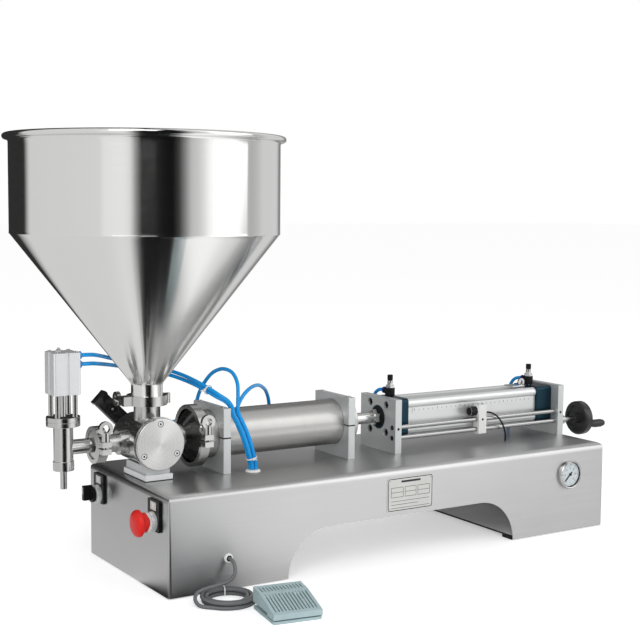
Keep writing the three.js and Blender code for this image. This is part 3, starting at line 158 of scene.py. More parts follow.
# four hoses rise from the bush side by side, and each goes on by its own way
bundle = {"start": [(153.6, -53.4, 153.3), (153.4, -53.4, 161), (148.6, -52.9, 180), (140.6, -51.9, 205),
                    (130.6, -50.4, 228)],
          "right": (6.8, 6.8, 7.2, 7.8, 8.2), "back": 6.8}


def inBundle(right, back):
    return [(x + gap * right, y + bundle["back"] * back, z)
            for (x, y, z), gap in zip(bundle["start"], bundle["right"])]


hoses = {
    "nozzle_hose_upper": inBundle(0, 0) + [
        (122.8, -49.4, 243), (120.6, -48.2, 254), (115.5, -44, 263), (107, -34, 270.5), (98, -16, 279.5),
        (88, 4, 288), (77, 24, 295.5), (64, 40, 301.5), (48, 52, 306.5), (26, 58, 311.5), (3, 57.5, 317),
        (-21, 51.5, 323), (-45, 39.5, 330), (-66, 21, 336), (-84, 6, 340.3), (-97, 0.6, 341.5),
        (-105.2, 0, 341.6)],
    "nozzle_hose_lower": inBundle(0, 1) + [
        (122.8, -42.6, 243), (120.6, -41, 253.5), (115.5, -36.5, 260.5), (106, -27, 267), (97, -9, 275),
        (87, 11, 283), (76, 30, 289.5), (63, 45, 295), (47, 57, 300), (26, 63, 304.5), (3, 62, 309.5),
        (-20, 54, 314), (-43, 40, 319), (-64, 22, 323.5), (-84, 7, 327.2), (-97, 0.6, 328.2),
        (-105.2, 0, 328.3)],
    "valve_hose_high": inBundle(1, 0) + [
        (131.6, -49.4, 243), (131.8, -46.5, 257), (135.5, -40, 273), (140.5, -28, 288), (141, -10, 301.5),
        (134.5, 8, 305.5), (126, 25, 298.5), (119, 40, 282), (115.5, 52, 264), (113.5, 60, 246),
        (108, 66, 230), (97, 69, 220), (80, 69.5, 217), (60, 68.5, 217), (45, 68, 217), (32.3, 68, 217)],
    "valve_hose_low": inBundle(1, 1) + [
        (132, -42.6, 243), (136, -40, 254.5), (147, -35, 267), (160, -27, 274), (176, -14, 277),
        (193, 0, 276.5), (211, 17, 270.5), (229, 35, 259), (242, 49, 240), (246, 56, 219), (238, 61, 203),
        (220, 64.5, 196), (195, 67, 195), (165, 69, 195), (135, 70, 195), (105, 70.5, 195), (80, 69.5, 195),
        (60, 68.5, 195), (45, 68, 195), (32.3, 68, 195)],
}
cylinderHose = [
    (16.3, 248.5), (20, 248.5), (26, 248.2), (33.5, 246.3), (40.5, 242.4), (46.5, 236.3), (50.4, 229),
    (52, 221), (52.3, 210), (52.3, 198), (52.3, 186), (52.3, 174), (52.3, 162), (52.3, 155), (52.3, 150.3)]
flowPlaces = {"front": 453, "rear": 765}  # where the two flow controls stand along the air cylinder
for label, x in flowPlaces.items():
    hoses["cylinder_hose_" + label] = [(x, y, z) for y, z in cylinderHose]
sensorRoute = [
    (626.4, -44, 204), (630, -44.3, 204), (638, -46.5, 203), (648, -50, 197.5), (657, -52.5, 187),
    (664, -53, 174), (668, -52, 162), (669, -51, 156), (669, -51, 150.3)]
footRouteNear = [
    (62.3, -149.3, 48.2), (62.3, -155, 48), (62.6, -162, 45), (62.4, -167, 38), (59.5, -170.5, 30.5),
    (53, -172.5, 25), (44, -174, 22), (32, -175, 20.4), (18, -175.5, 19), (5, -175.6, 17.2),
    (-5.5, -177.4, 14), (-11.5, -184.5, 9), (-12.3, -195, 4.2), (-9.8, -203.4, 3), (-5, -209.1, 2.85),
    (-1.2, -213.05, 2.85)]
footRouteFar = [
    (74.75, -209.7, 9.25), (78.2, -205.4, 9.2), (84.5, -200.5, 7.4), (92.5, -198.6, 5.4), (102, -201.5, 4.2),
    (110, -209.5, 4), (114, -220.5, 5.4), (113.6, -231, 7.9), (112.3, -239.7, 9)]
footCoil = {"centre": (36, -194), "radius": 40.5, "pitch": 6.4, "turns": 4 + 115 / 360, "start": 215,
            "floor": 2.85, "climbTurns": 0.5, "stepsPerTurn": 48}


def coilRoute(coil):
    # winds inwards for half its turns, climbs, and winds out again on top
    count = round(coil["turns"] * coil["stepsPerTurn"])
    half = coil["turns"] / 2
    x, y = coil["centre"]
    spots = []
    for i in range(count + 1):
        turn = coil["turns"] * i / count
        radius = coil["radius"] - coil["pitch"] * (half - abs(turn - half))
        climb = min(max((turn - half) / coil["climbTurns"] + coil["climbTurns"], 0), 1)
        climb = climb * climb * (3 - 2 * climb)
        angle = radians(coil["start"]) + turn * tau
        spots.append(Vector((x + radius * cos(angle), y + radius * sin(angle),
                             coil["floor"] + coil["pitch"] * climb)))
    return spots


cordLooks = []
for name, points in hoses.items():
    route = smoothRoute(points, cordSizes["hoseStep"])
    hose = hoseTube(name + "_tube", route, cordSizes["hose"])
    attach(hose, "frame")
    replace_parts(hose, name)
    hose.visible_glossy = "nozzle" not in name and "valve" not in name  # their blue would smear over the cone
    cordLooks.append((hose, "blueHose"))

footRoute = (smoothRoute(footRouteNear, cordSizes["hoseStep"]) + coilRoute(footCoil)
             + smoothRoute(footRouteFar, cordSizes["hoseStep"]))
footRoute = [footRoute[0]] + [b for a, b in zip(footRoute, footRoute[1:])
                              if (b - a).length > cordSizes["leastStep"]]
footLead = hoseTube("foot_lead", footRoute, cordSizes["foot"])
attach(footLead, "frame")
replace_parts(footLead, "foot_cable_near", "foot_cable_coil", "foot_cable_far")

sensorPath = smoothRoute(sensorRoute, cordSizes["sensorStep"])
sensorLead = hoseTube("sensor_lead", sensorPath, cordSizes["sensor"])
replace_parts(sensorLead, "sensor_cable")
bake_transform(sensorLead)
cordLooks += [(footLead, "greyCable"), (sensorLead, "blackPlastic")]
print("camera and cords ready, foot lead", round(routeLength(footRoute)), "mm")


# ---- finishes

finishes = {}


def newFinish(name):
    material = bpy.data.materials.new(name)
    material.use_nodes = True
    finishes[name] = material
    return material.node_tree, material.node_tree.nodes["Principled BSDF"]


def setInput(tree, socket, value):
    # another node's output is linked, a plain number or colour is set
    if isinstance(value, bpy.types.NodeSocket):
        tree.links.new(value, socket)
    else:
        socket.default_value = (*value, 1) if socket.type == "RGBA" else value


def setInputs(tree, target, inputs):
    for key, value in inputs.items():
        setInput(tree, target.inputs[key], value)


def node(tree, kind, inputs=None, **settings):
    made = tree.nodes.new(kind)
    for key, value in settings.items():
        setattr(made, key, value)
    setInputs(tree, made, inputs or {})
    return made


def maths(tree, operation, *values):
    return node(tree, "ShaderNodeMath", dict(enumerate(values)), operation=operation).outputs[0]


def arrows(tree, operation, *values):
    return node(tree, "ShaderNodeVectorMath", dict(enumerate(values)), operation=operation).outputs


def grain(tree, scale, detail, stretch=(1, 1, 1)):
    spot = node(tree, "ShaderNodeTexCoord")
    place = node(tree, "ShaderNodeMapping", {"Vector": spot.outputs["Object"], "Scale": stretch})
    noise = node(tree, "ShaderNodeTexNoise", {"Vector": place.outputs["Vector"], "Scale": scale,
                                              "Detail": detail})
    return noise.outputs["Fac"]


def splitPlace(tree, output):
    # the three coordinates of each spot on the surface
    spot = node(tree, "ShaderNodeTexCoord").outputs[output]
    return spot, node(tree, "ShaderNodeSeparateXYZ", {0: spot}).outputs


def remap(tree, value, low, high, fromLow=0.3, fromHigh=0.7):
    ranged = node(tree, "ShaderNodeMapRange", {"Value": value, "From Min": fromLow, "From Max": fromHigh,
                                               "To Min": low, "To Max": high})
    return ranged.outputs["Result"]


def mixColours(tree, share, first, second):
    mix = node(tree, "ShaderNodeMix", {"Factor": share}, data_type="RGBA")
    for socket, colour in zip([socket for socket in mix.inputs if socket.type == "RGBA"], (first, second)):
        setInput(tree, socket, colour)
    return [socket for socket in mix.outputs if socket.type == "RGBA"][0]


def shades(tone, down, up=0):
    return [tuple(min(channel * (1 + change), 1) for channel in tone) for change in (-down, up)]


def surfaceBump(tree, shader, value, strength, distance=0.0002):
    bump = node(tree, "ShaderNodeBump", {"Strength": strength, "Distance": distance, "Height": value})
    setInputs(tree, shader, {"Normal": bump.outputs["Normal"]})


def metalFinish(name, tone, rough, stretch, cloud=0.04, bump=0.05, spread=0.0, across=None, metallic=1.0):
    # long fine scratches along one axis over soft cloudy patches, highlights spread across the scratches
    tree, shader = newFinish(name)
    if across:
        lay = node(tree, "ShaderNodeCombineXYZ", dict(enumerate(across)))
        setInputs(tree, shader, {"Tangent": lay.outputs[0]})
    lines = grain(tree, 1, 3, stretch)
    patches = grain(tree, 9, 2)
    both = maths(tree, "ADD", remap(tree, lines, 0, 0.6), remap(tree, patches, 0, 0.4))
    setInputs(tree, shader, {"Metallic": metallic, "Anisotropic": spread,
                             "Base Color": mixColours(tree, both, *shades(tone, cloud, cloud)),
                             "Roughness": remap(tree, lines, *rough)})
    surfaceBump(tree, shader, lines, bump)


def hopperFinish(name, tone, rough, seam):
    # spun steel: marks run round, so highlights spread up and down, more on the cone than on the wall
    tree, shader = newFinish(name)
    lay = node(tree, "ShaderNodeCombineXYZ", {"Z": 1})
    parts = splitPlace(tree, "Object")[1]
    marks = grain(tree, 1, 3, (14, 14, 1500))
    both = maths(tree, "ADD", remap(tree, parts["Z"], *rough, *seam), remap(tree, marks, -0.02, 0.02))
    setInputs(tree, shader, {"Metallic": 1, "Anisotropic": 0.95, "Tangent": lay.outputs[0], "Roughness": both,
                             "Base Color": mixColours(tree, marks, *shades(tone, 0.04))})
    surfaceBump(tree, shader, marks, 0.03, 0.0001)


def plainFinish(name, tone, rough, cloud=0.08, grainScale=400, bump=0.05, coat=0.0, shine=0.5):
    # moulded or painted surface: fine texture, soft patches of tone
    tree, shader = newFinish(name)
    fine = grain(tree, grainScale, 3)
    patches = remap(tree, grain(tree, 25, 3), 0, 1)
    setInputs(tree, shader, {"Specular IOR Level": shine, "Metallic": 0, "Coat Weight": coat,
                             "Base Color": mixColours(tree, patches, *shades(tone, cloud, cloud)),
                             "Roughness": remap(tree, fine, *rough)})
    surfaceBump(tree, shader, fine, bump)


def turnedDiscFinish(name, tone, rough):
    # concentric turning marks about the pump's line, with the streaks they catch the light in
    tree, shader = newFinish(name)
    spot = node(tree, "ShaderNodeTexCoord")
    place = node(tree, "ShaderNodeMapping", {"Vector": spot.outputs["Object"],
                                             "Location": (0, 0, -pumpLine * mm)})
    flat = arrows(tree, "MULTIPLY", place.outputs["Vector"], (1, 0, 1))["Vector"]
    reach = arrows(tree, "LENGTH", flat)["Value"]
    rings = node(tree, "ShaderNodeTexNoise", {"W": reach, "Scale": 1400}, noise_dimensions="1D")
    marks = rings.outputs["Fac"]
    setInputs(tree, shader, {"Metallic": 1, "Anisotropic": 0.85,
                             "Tangent": arrows(tree, "NORMALIZE", flat)["Vector"],
                             "Base Color": mixColours(tree, marks, *shades(tone, 0.07)),
                             "Roughness": remap(tree, marks, *rough)})
    surfaceBump(tree, shader, marks, 0.08, 0.0001)


def valveFinish(name, tone, paintedShadeTone, rough, zone):
    # turned steel with painted shade inside the dished ferrule on the pump side: along x its colour blends to
    # a dark tone
    tree, shader = newFinish(name)
    parts = splitPlace(tree, "Object")[1]
    marks = grain(tree, 1, 3, (300, 60, 300))
    paintedShadeShare = remap(tree, parts["X"], 0, 1, zone[0] * mm, zone[1] * mm)
    spread = maths(tree, "MULTIPLY_ADD", remap(tree, marks, -0.06, 0.06), 1, paintedShadeShare)
    setInputs(tree, shader, {"Metallic": 1, "Base Color": mixColours(tree, spread, tone, paintedShadeTone),
                             "Roughness": remap(tree, marks, *rough)})
    surfaceBump(tree, shader, marks, 0.06)


def glassFinish(name):
    tree, shader = newFinish(name)
    setInputs(tree, shader, {"Base Color": (0.95, 0.97, 0.97), "Transmission Weight": 1, "IOR": 1.15,
                             "Roughness": remap(tree, grain(tree, 300, 2), 0.0, 0.03)})


# each metal: tone, roughness, how the scratches are stretched
metalFinish("benchSteel", (0.52, 0.52, 0.52), (0.28, 0.36), (6, 700, 700), spread=0.8, across=(0, 0.2, 1))
hopperFinish("hopperSteel", (0.80, 0.80, 0.79), (0.15, 0.13), (0.505, 0.53))
metalFinish("tubeSteel", (0.60, 0.595, 0.58), (0.32, 0.42), (900, 12, 12), cloud=0.07, bump=0.06, spread=0.8,
            across=(1, 0, 0))
metalFinish("polishedSteel", (0.57, 0.57, 0.56), (0.12, 0.20), (200, 200, 200), cloud=0.03, bump=0.03)
metalFinish("turnedSteel", (0.54, 0.54, 0.53), (0.16, 0.28), (300, 60, 300), bump=0.06)
metalFinish("rodSteel", (0.38, 0.38, 0.38), (0.18, 0.28), (12, 700, 700), cloud=0.05)
# near-black steel: painted shade on the gauge's inner ring and round the cover screws' pale rims, also used
# for the sunk rod ends
metalFinish("darkSteel", (0.07, 0.07, 0.075), (0.30, 0.40), (300, 300, 300), cloud=0.10)
turnedDiscFinish("coverSteel", (0.70, 0.70, 0.69), (0.22, 0.34))
metalFinish("plateAluminium", (0.62, 0.64, 0.64), (0.36, 0.48), (120, 120, 900), cloud=0.05, bump=0.10,
            metallic=0.6)
metalFinish("paleAluminium", (0.84, 0.85, 0.86), (0.36, 0.48), (120, 120, 900), cloud=0.03, bump=0.10,
            metallic=0.6)
metalFinish("barrelAluminium", (0.72, 0.73, 0.73), (0.30, 0.38), (8, 800, 800), cloud=0.03, metallic=0.55)
metalFinish("darkAnodised", (0.018, 0.045, 0.065), (0.30, 0.42), (500, 500, 500), cloud=0.15, bump=0.10)
# each moulded or painted surface: tone, roughness
plainFinish("blackPlastic", (0.006, 0.006, 0.006), (0.30, 0.44), bump=0.08, shine=0.2)
plainFinish("blackGloss", (0.010, 0.010, 0.011), (0.14, 0.24), bump=0.04, coat=0.3, shine=0.4)
plainFinish("blackRubber", (0.012, 0.012, 0.012), (0.62, 0.80), bump=0.25, shine=0.2)
plainFinish("wheelPlastic", (0.026, 0.026, 0.026), (0.24, 0.36), bump=0.10, coat=0.15, shine=0.3)
plainFinish("redPlastic", (0.68, 0.012, 0.008), (0.34, 0.42), cloud=0.05, bump=0.04, shine=0.35)
plainFinish("whitePlastic", (0.80, 0.80, 0.78), (0.40, 0.52), cloud=0.02)
plainFinish("blueHose", (0.0, 0.31, 0.76), (0.20, 0.30), cloud=0.12, grainScale=250, coat=0.2, shine=0.3)
plainFinish("blueCollar", (0.004, 0.05, 0.30), (0.30, 0.40), shine=0.3)
plainFinish("greyCable", (0.140, 0.147, 0.152), (0.42, 0.55), cloud=0.10, bump=0.12)
plainFinish("greyPaint", (0.39, 0.51, 0.53), (0.38, 0.52), cloud=0.06, grainScale=500, bump=0.30)
plainFinish("insideSteel", (0.84, 0.84, 0.84), (0.5, 0.6), cloud=0.03)
plainFinish("labelPaper", (0.62, 0.62, 0.60), (0.45, 0.60), cloud=0.03)
plainFinish("dialWhite", (0.80, 0.84, 0.87), (0.35, 0.45), cloud=0.02, bump=0.02)
plainFinish("dialInk", (0.02, 0.02, 0.025), (0.5, 0.6), cloud=0.05, bump=0.02)
# the second tone is painted shade: dark colour from 50 mm along x, full past 56 mm, inside the ferrule's dish
valveFinish("valveSteelPaintedShade", (0.54, 0.54, 0.53), (0.13, 0.13, 0.13), (0.16, 0.28), (50, 56))
glassFinish("gaugeGlass")


def paint(obj, finish):
    obj.data.materials.clear()
    obj.data.materials.append(finishes[finish])


for cord, look in cordLooks:
    paint(cord, look)
print("finishes ready:", len(finishes))


# ---- making pieces

# distances in metres under which points are one, the angle in degrees that counts as flat, how much large
# faces rule the shading
care = {"nodeWeld": 0.000005, "spinWeld": 0.000002, "flat": 0.4, "level": 80}


def setMode(mode):
    bpy.ops.object.mode_set(mode=mode)


def selectMesh(action):
    bpy.ops.mesh.select_all(action=action)


def applyPlace(obj):
    makeActive(obj)
    bpy.ops.object.transform_apply(location=True, rotation=True, scale=True)


def applyChange(obj, label, kind, **settings):
    change = obj.modifiers.new(label, kind)
    for key, value in settings.items():
        setattr(change, key, value)
    bpy.ops.object.modifier_apply(modifier=change.name)


def finishPiece(obj, name, finish, body="frame", angle=35):
    applyPlace(obj)
    obj.name = obj.data.name = name
    paint(obj, finish)
    bpy.ops.object.shade_smooth_by_angle(angle=radians(angle))
    applyChange(obj, "Level", "WEIGHTED_NORMAL", keep_sharp=True, weight=care["level"])
    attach(obj, body)
    return obj


def roundEdges(obj, width, segments=2, angle=40):
    makeActive(obj)
    applyChange(obj, "Round", "BEVEL", width=width * mm, segments=segments, limit_method="ANGLE",
                angle_limit=radians(angle))


def pick(obj, kind, wanted):
    # selects the faces or edges that are wanted and stays in edit mode
    setMode("EDIT")
    bpy.ops.mesh.select_mode(type=kind)
    selectMesh("DESELECT")
    setMode("OBJECT")
    for item in obj.data.edges if kind == "EDGE" else obj.data.polygons:
        item.select = wanted(item)
    setMode("EDIT")


def dressNode(name, finish, edge=0, segments=2):
    # the node's own shape with its edges broken and its round faces smooth
    source = nodes[name]
    obj = bpy.data.objects.new(name + "_finished", source.data.copy())
    bpy.context.collection.objects.link(obj)
    obj.parent = None
    obj.matrix_world = source.matrix_world.copy()
    makeActive(obj)
    setMode("EDIT")
    selectMesh("SELECT")
    bpy.ops.mesh.remove_doubles(threshold=care["nodeWeld"])
    bpy.ops.mesh.dissolve_limited(angle_limit=radians(care["flat"]))
    setMode("OBJECT")
    if edge:
        roundEdges(obj, edge, segments)
    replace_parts(obj, name)
    return finishPiece(obj, name + "_finished", finish, bodyOf[name])


def spinPiece(name, profile, centre, axis, steps, finish="polishedSteel", slot=None, body="frame",
              closed=False, angle=35):
    # profile points are (radius, place along the axis), walked by extruding one vertex, then spun
    along = {"x": Vector((1, 0, 0)), "y": Vector((0, 1, 0)), "z": Vector((0, 0, 1))}[axis]
    out = {"x": Vector((0, 1, 0)), "y": Vector((1, 0, 0)), "z": Vector((1, 0, 0))}[axis]
    base = Vector(centre) * mm
    spots = [base + out * radius * mm + along * place * mm for radius, place in profile]
    obj = added(bpy.ops.mesh.primitive_plane_add, size=mm, location=spots[0])
    bpy.ops.object.transform_apply(location=True, rotation=True, scale=True)
    setMode("EDIT")
    bpy.ops.mesh.select_mode(type="VERT")
    selectMesh("SELECT")
    bpy.ops.mesh.merge(type="CENTER")
    for before, after in zip(spots, spots[1:] + (spots[:1] if closed else [])):
        bpy.ops.mesh.extrude_region_move(TRANSFORM_OT_translate={"value": after - before})
    selectMesh("SELECT")
    bpy.ops.mesh.remove_doubles(threshold=care["spinWeld"])
    selectMesh("SELECT")
    bpy.ops.mesh.spin(steps=steps, angle=tau, center=base, axis=along)
    selectMesh("SELECT")
    bpy.ops.mesh.remove_doubles(threshold=care["spinWeld"])
    bpy.ops.mesh.normals_make_consistent(inside=False)
    setMode("OBJECT")
    return finishPiece(obj, name, finish, body, angle)


def ringPiece(*given, **more):
    return spinPiece(*given, closed=True, **more)  # the profile's ends meet


def hexPiece(name, profile, centre, axis, body="frame", closed=True):
    # nuts and spanner flats, their six edges kept crisp
    return spinPiece(name, profile, centre, axis, 6, body=body, closed=closed, angle=20)


def newBlock(middle, size, turn=(0, 0, 0)):
    obj = added(bpy.ops.mesh.primitive_cube_add, size=1, location=Vector(middle) * mm, rotation=turn)
    obj.scale = Vector(size) * mm
    applyPlace(obj)
    return obj


def boxPiece(name, low, high, finish="polishedSteel", slot=None, edge=0.4, body="frame"):
    low, high = Vector(low), Vector(high)
    obj = newBlock((low + high) / 2, high - low)
    if edge:
        roundEdges(obj, edge)
    return finishPiece(obj, name, finish, body)


def joinPieces(name, pieces):
    makeActive(pieces[0])
    for piece in pieces:
        piece.select_set(True)
    bpy.ops.object.join()
    pieces[0].name = pieces[0].data.name = name


screw = {"turns": {"x": (0, -pi / 2, 0), "y": (pi / 2, 0, 0), "z": (0, 0, 0)}, "sides": 24, "sunk": 0.6,
         "round": 0.3, "roundShare": 0.12}


def socketScrew(name, axis, at, head, finish="polishedSteel", body="frame"):
    # a cap screw seen from outside: round head with its edges broken and a sunk socket
    radius, height, socket = head
    obj = added(bpy.ops.mesh.primitive_cylinder_add, vertices=screw["sides"], radius=radius * mm,
                depth=height * mm, location=Vector(at) * mm, rotation=screw["turns"][axis])
    top = max(face.center.z for face in obj.data.polygons)
    pick(obj, "FACE", lambda face: face.center.z == top)
    bpy.ops.mesh.inset(thickness=(radius - socket) * mm)
    down = obj.matrix_world.to_3x3() @ Vector((0, 0, -height * screw["sunk"] * mm))
    bpy.ops.mesh.extrude_region_move(TRANSFORM_OT_translate={"value": down})
    setMode("OBJECT")
    applyPlace(obj)
    roundEdges(obj, min(screw["round"], radius * screw["roundShare"]), 2, 60)
    return finishPiece(obj, name, finish, body)


# ---- hopper

hopper = {"radius": 201, "wall": 2, "rim": 665, "shoulder": 520, "foot": 293, "neck": 24, "roll": 4.4,
          "rollAngles": range(-70, 155, 25), "bore": 17, "face": 268.5, "ferrule": 26.5, "steps": 128}


def makeHopper(h):
    radius, rim, shoulder, foot, neck = h["radius"], h["rim"], h["shoulder"], h["foot"], h["neck"]
    face, roll, inner = h["face"], h["roll"], h["radius"] - h["wall"]
    slope = (radius - neck) / (shoulder - foot)
    outside = [(h["ferrule"], face), (h["ferrule"], face + 2.5), (neck, face + 5), (neck, foot - 2),
               (neck + 0.6, foot + 0.4), (neck + slope * 4, foot + 4)]
    weld = [(radius - slope * 5, shoulder - 5), (radius - slope * 1.8, shoulder - 1.8),
            (radius - 0.3, shoulder - 0.9), (radius + 0.3, shoulder), (radius + 0.3, shoulder + 0.6),
            (radius, shoulder + 1.4), (radius, shoulder + 4), (radius, rim - 20)]
    rollRise, rollOut = rim - roll, radius + roll
    lip = [(radius, rollRise - roll - 4), (rollOut - 3.4, rollRise - roll - 1.2),
           (rollOut - 1.2, rollRise - roll - 0.2)]
    for angle in map(radians, h["rollAngles"]):
        lip.append((rollOut + roll * cos(angle), rollRise + roll * sin(angle)))
    inside = [(inner + 1.5, rim - 1.5), (inner, rim - 5), (inner, shoulder + 1), (inner - 0.8, shoulder - 1),
              (neck - h["wall"], foot), (h["bore"], face + 5), (h["bore"], face)]
    piece = ringPiece("hopper_shell", outside + weld + lip + inside, (0, 0, 0), "z", h["steps"],
                      "hopperSteel", slotOf["hopper"], bodyOf["hopper"], angle=50)
    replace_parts(piece, "hopper")


makeHopper(hopper)
print("hopper ready")


# ---- bench with its plate, gauge and panel fittings

benchInside = {"middle": (391, 0, 75), "cutEdge": 143.8, "flat": 0.9}


def secondFinish(obj, finish, wanted):
    obj.data.materials.append(finishes[finish])
    for face in obj.data.polygons:
        face.material_index = 1 if wanted(face) else 0


def isInside(face):
    # the sheet's inner side is left matt, only the outside and the cut edges are brushed
    inwards = face.normal.dot(Vector(benchInside["middle"]) * mm - face.center) > 0
    return inwards and not (abs(face.normal.y) < 0.5 and abs(face.center.y) > benchInside["cutEdge"] * mm)


for name in ("tray_left", "tray_right"):  # a pale floor sheet lies in each rubber edge
    secondFinish(dressNode(name, "blackRubber", 0.4), "insideSteel",
                 lambda face: face.normal.z > benchInside["flat"])
secondFinish(dressNode("bench_housing", "benchSteel"), "insideSteel", isInside)

# rules and cells are shares of the plate's width and height
badgePlate = {"x": (346, 436), "z": (80, 135), "y": -146, "thickness": 0.8, "rivets": 1.2, "rivetInset": 5,
              "rivetFlat": 0.5, "margin": 1.4, "corner": 5, "cornerSteps": 6, "line": 1.2, "ink": 0.14,
              "plateCorner": 4, "plateSteps": 5, "stroke": (0.007, 0.012), "rows": (0.10, 0.20, 0.30),
              "title": ((0.30, 0.84), (0.72, 0.90)), "rowFrom": 0.08, "rowTo": (0.92, 0.67),
              "cells": [(0.08, 0.34), (0.38, 0.62), (0.66, 0.92)], "cellHeight": (0.42, 0.70)}


def plateOutline(b):
    # a thin dark band just inside the plate's edge, with round corners
    (x0, x1), (z0, z1) = b["x"], b["z"]
    middle = Vector(((x0 + x1) / 2, b["y"] - b["thickness"] - 0.06, (z0 + z1) / 2)) * mm
    band = added(bpy.ops.mesh.primitive_plane_add, size=1, location=middle, rotation=(pi / 2, 0, 0))
    band.scale = ((x1 - x0 - 2 * b["margin"]) * mm, (z1 - z0 - 2 * b["margin"]) * mm, 1)
    applyPlace(band)
    setMode("EDIT")
    selectMesh("SELECT")
    bpy.ops.mesh.bevel(offset=(b["corner"] - b["margin"]) * mm, segments=b["cornerSteps"], affect="VERTICES")
    selectMesh("SELECT")
    bpy.ops.mesh.inset(thickness=b["line"] * mm)
    bpy.ops.mesh.delete(type="FACE")
    setMode("OBJECT")
    applyChange(band, "Wall", "SOLIDIFY", thickness=b["ink"] * mm, offset=0)
    return finishPiece(band, "plate_outline", "dialInk")


def makeBadge(b):
    (x0, x1), (z0, z1), y, t = b["x"], b["z"], b["y"], b["thickness"]
    plate = newBlock(((x0 + x1) / 2, y - t / 2, (z0 + z1) / 2), (x1 - x0, t, z1 - z0))
    spots = [vertex.co.y for vertex in plate.data.vertices]
    pick(plate, "EDGE", lambda edge: abs(spots[edge.vertices[0]] - spots[edge.vertices[1]]) > 0.0001)
    bpy.ops.mesh.bevel(offset=b["plateCorner"] * mm, segments=b["plateSteps"])
    setMode("OBJECT")
    roundEdges(plate, 0.2, 2, 60)
    finishPiece(plate, "rating_plate", "labelPaper")
    wide, high = b["stroke"]
    low, top = b["cellHeight"]
    rules = [b["title"]]
    for i, row in enumerate(b["rows"]):
        rules.append(((b["rowFrom"], row), (b["rowTo"][i % 2], row + high)))
    for a, c in b["cells"]:
        rules += [((a, low), (c, low + high)), ((a, top), (c, top + high)), ((a, low), (a + wide, top)),
                  ((c, low), (c + wide, top)), ((a, (low + top) / 2), (c, (low + top) / 2 + high))]
    lines = [plateOutline(b)]
    for i, ((a, foot), (c, head)) in enumerate(rules):
        lines.append(boxPiece(f"plate_rule_{i}", (x0 + a * (x1 - x0), y - t - 0.1, z0 + foot * (z1 - z0)),
                              (x0 + c * (x1 - x0), y - t + 0.1, z0 + head * (z1 - z0)), "dialInk", edge=0))
    joinPieces("rating_plate_rules", lines)
    rivets = []
    inset = b["rivetInset"]
    for i, (x, z) in enumerate([(x, z) for z in (z0 + inset, z1 - inset) for x in (x0 + inset, x1 - inset)]):
        rivet = added(bpy.ops.mesh.primitive_uv_sphere_add, segments=16, ring_count=10,
                      radius=b["rivets"] * mm, location=Vector((x, y - t, z)) * mm)
        rivet.scale.y = b["rivetFlat"]
        rivets.append(finishPiece(rivet, f"plate_rivet_{i}", "polishedSteel"))
    joinPieces("rating_plate_rivets", rivets)


makeBadge(badgePlate)

gauge = {"x": 733.7, "z": 101.2, "front": -146, "radius": 25, "proud": 7, "dial": 21.5, "depth": 4.5,
         "socket": 19.5, "sunk": 28, "first": 225, "marks": 31, "markStep": 9, "markEnd": 18.6,
         "longMark": (14.6, 0.5), "shortMark": (16.6, 0.25), "ink": (0.16, 0.12), "digits": 7,
         "digitStep": 45, "digitReach": 11.4, "digitSize": 4.2, "digitDrop": 1.3, "digitInk": 0.05}


def makeGauge(g):
    x, z, front, radius, dial = g["x"], g["z"], g["front"], g["radius"], g["dial"]
    proud, socket, back = g["proud"], g["socket"], front + g["sunk"]
    rim = front - proud
    face = rim + g["depth"]
    lift, thick = g["ink"]
    profile = [(0, back), (socket, back), (socket, front), (radius - 0.5, front), (radius, front - 0.6),
               (radius, front - proud * 0.55), (radius - 0.8, front - proud * 0.85), (radius - 2, rim),
               (dial + 0.6, rim + 0.3), (dial, rim + 1.2), (dial, face), (0, face)]
    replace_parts(spinPiece("gauge_shell", profile, (x, 0, z), "y", 64), "gauge_case")
    disc = [(0, face + 0.05), (dial - 0.2, face + 0.05), (dial - 0.2, face - 0.12), (0, face - 0.12)]
    spinPiece("gauge_dial", disc, (x, 0, z), "y", 48, "dialWhite")
    # a dark ring just inside the bezel: painted shade, the shadow the bezel throws on the dial's edge
    ring = [(dial - 1.1, face - 0.2), (dial - 0.1, rim + 2.2), (dial - 0.1, face - 0.2)]
    ringPiece("gauge_inner_ring", ring, (x, 0, z), "y", 48, "darkSteel")
    marks = []
    for i in range(g["marks"]):
        angle = radians(g["first"] - i * g["markStep"])
        inner, width = g["longMark"] if i % 5 == 0 else g["shortMark"]
        middle = (inner + g["markEnd"]) / 2
        mark = newBlock((x + middle * cos(angle), face - lift, z + middle * sin(angle)),
                        (g["markEnd"] - inner, thick, width), (0, -angle, 0))
        marks.append(finishPiece(mark, f"gauge_mark_{i}", "dialInk"))
    for i in range(g["digits"]):
        angle = radians(g["first"] - i * g["digitStep"])
        spot = (x + g["digitReach"] * cos(angle), face - lift,
                z + g["digitReach"] * sin(angle) - g["digitDrop"])
        digit = added(bpy.ops.object.text_add, location=Vector(spot) * mm, rotation=(pi / 2, 0, 0))
        digit.data.body = str(i * 2)
        digit.data.size = g["digitSize"] * mm
        digit.data.align_x = "CENTER"
        digit.data.extrude = g["digitInk"] * mm
        bpy.ops.object.convert(target="MESH")
        marks.append(finishPiece(bpy.context.object, f"gauge_digit_{i}", "dialInk"))
    joinPieces("gauge_marks", marks)
    lens = [(0, rim + 0.9), (dial - 0.1, rim + 1.1), (dial - 0.1, rim + 1.9), (0, rim + 1.7)]
    spinPiece("gauge_lens", lens, (x, 0, z), "y", 48, "gaugeGlass")
    dressNode("gauge_pointer", "dialInk", 0.15)


makeGauge(gauge)

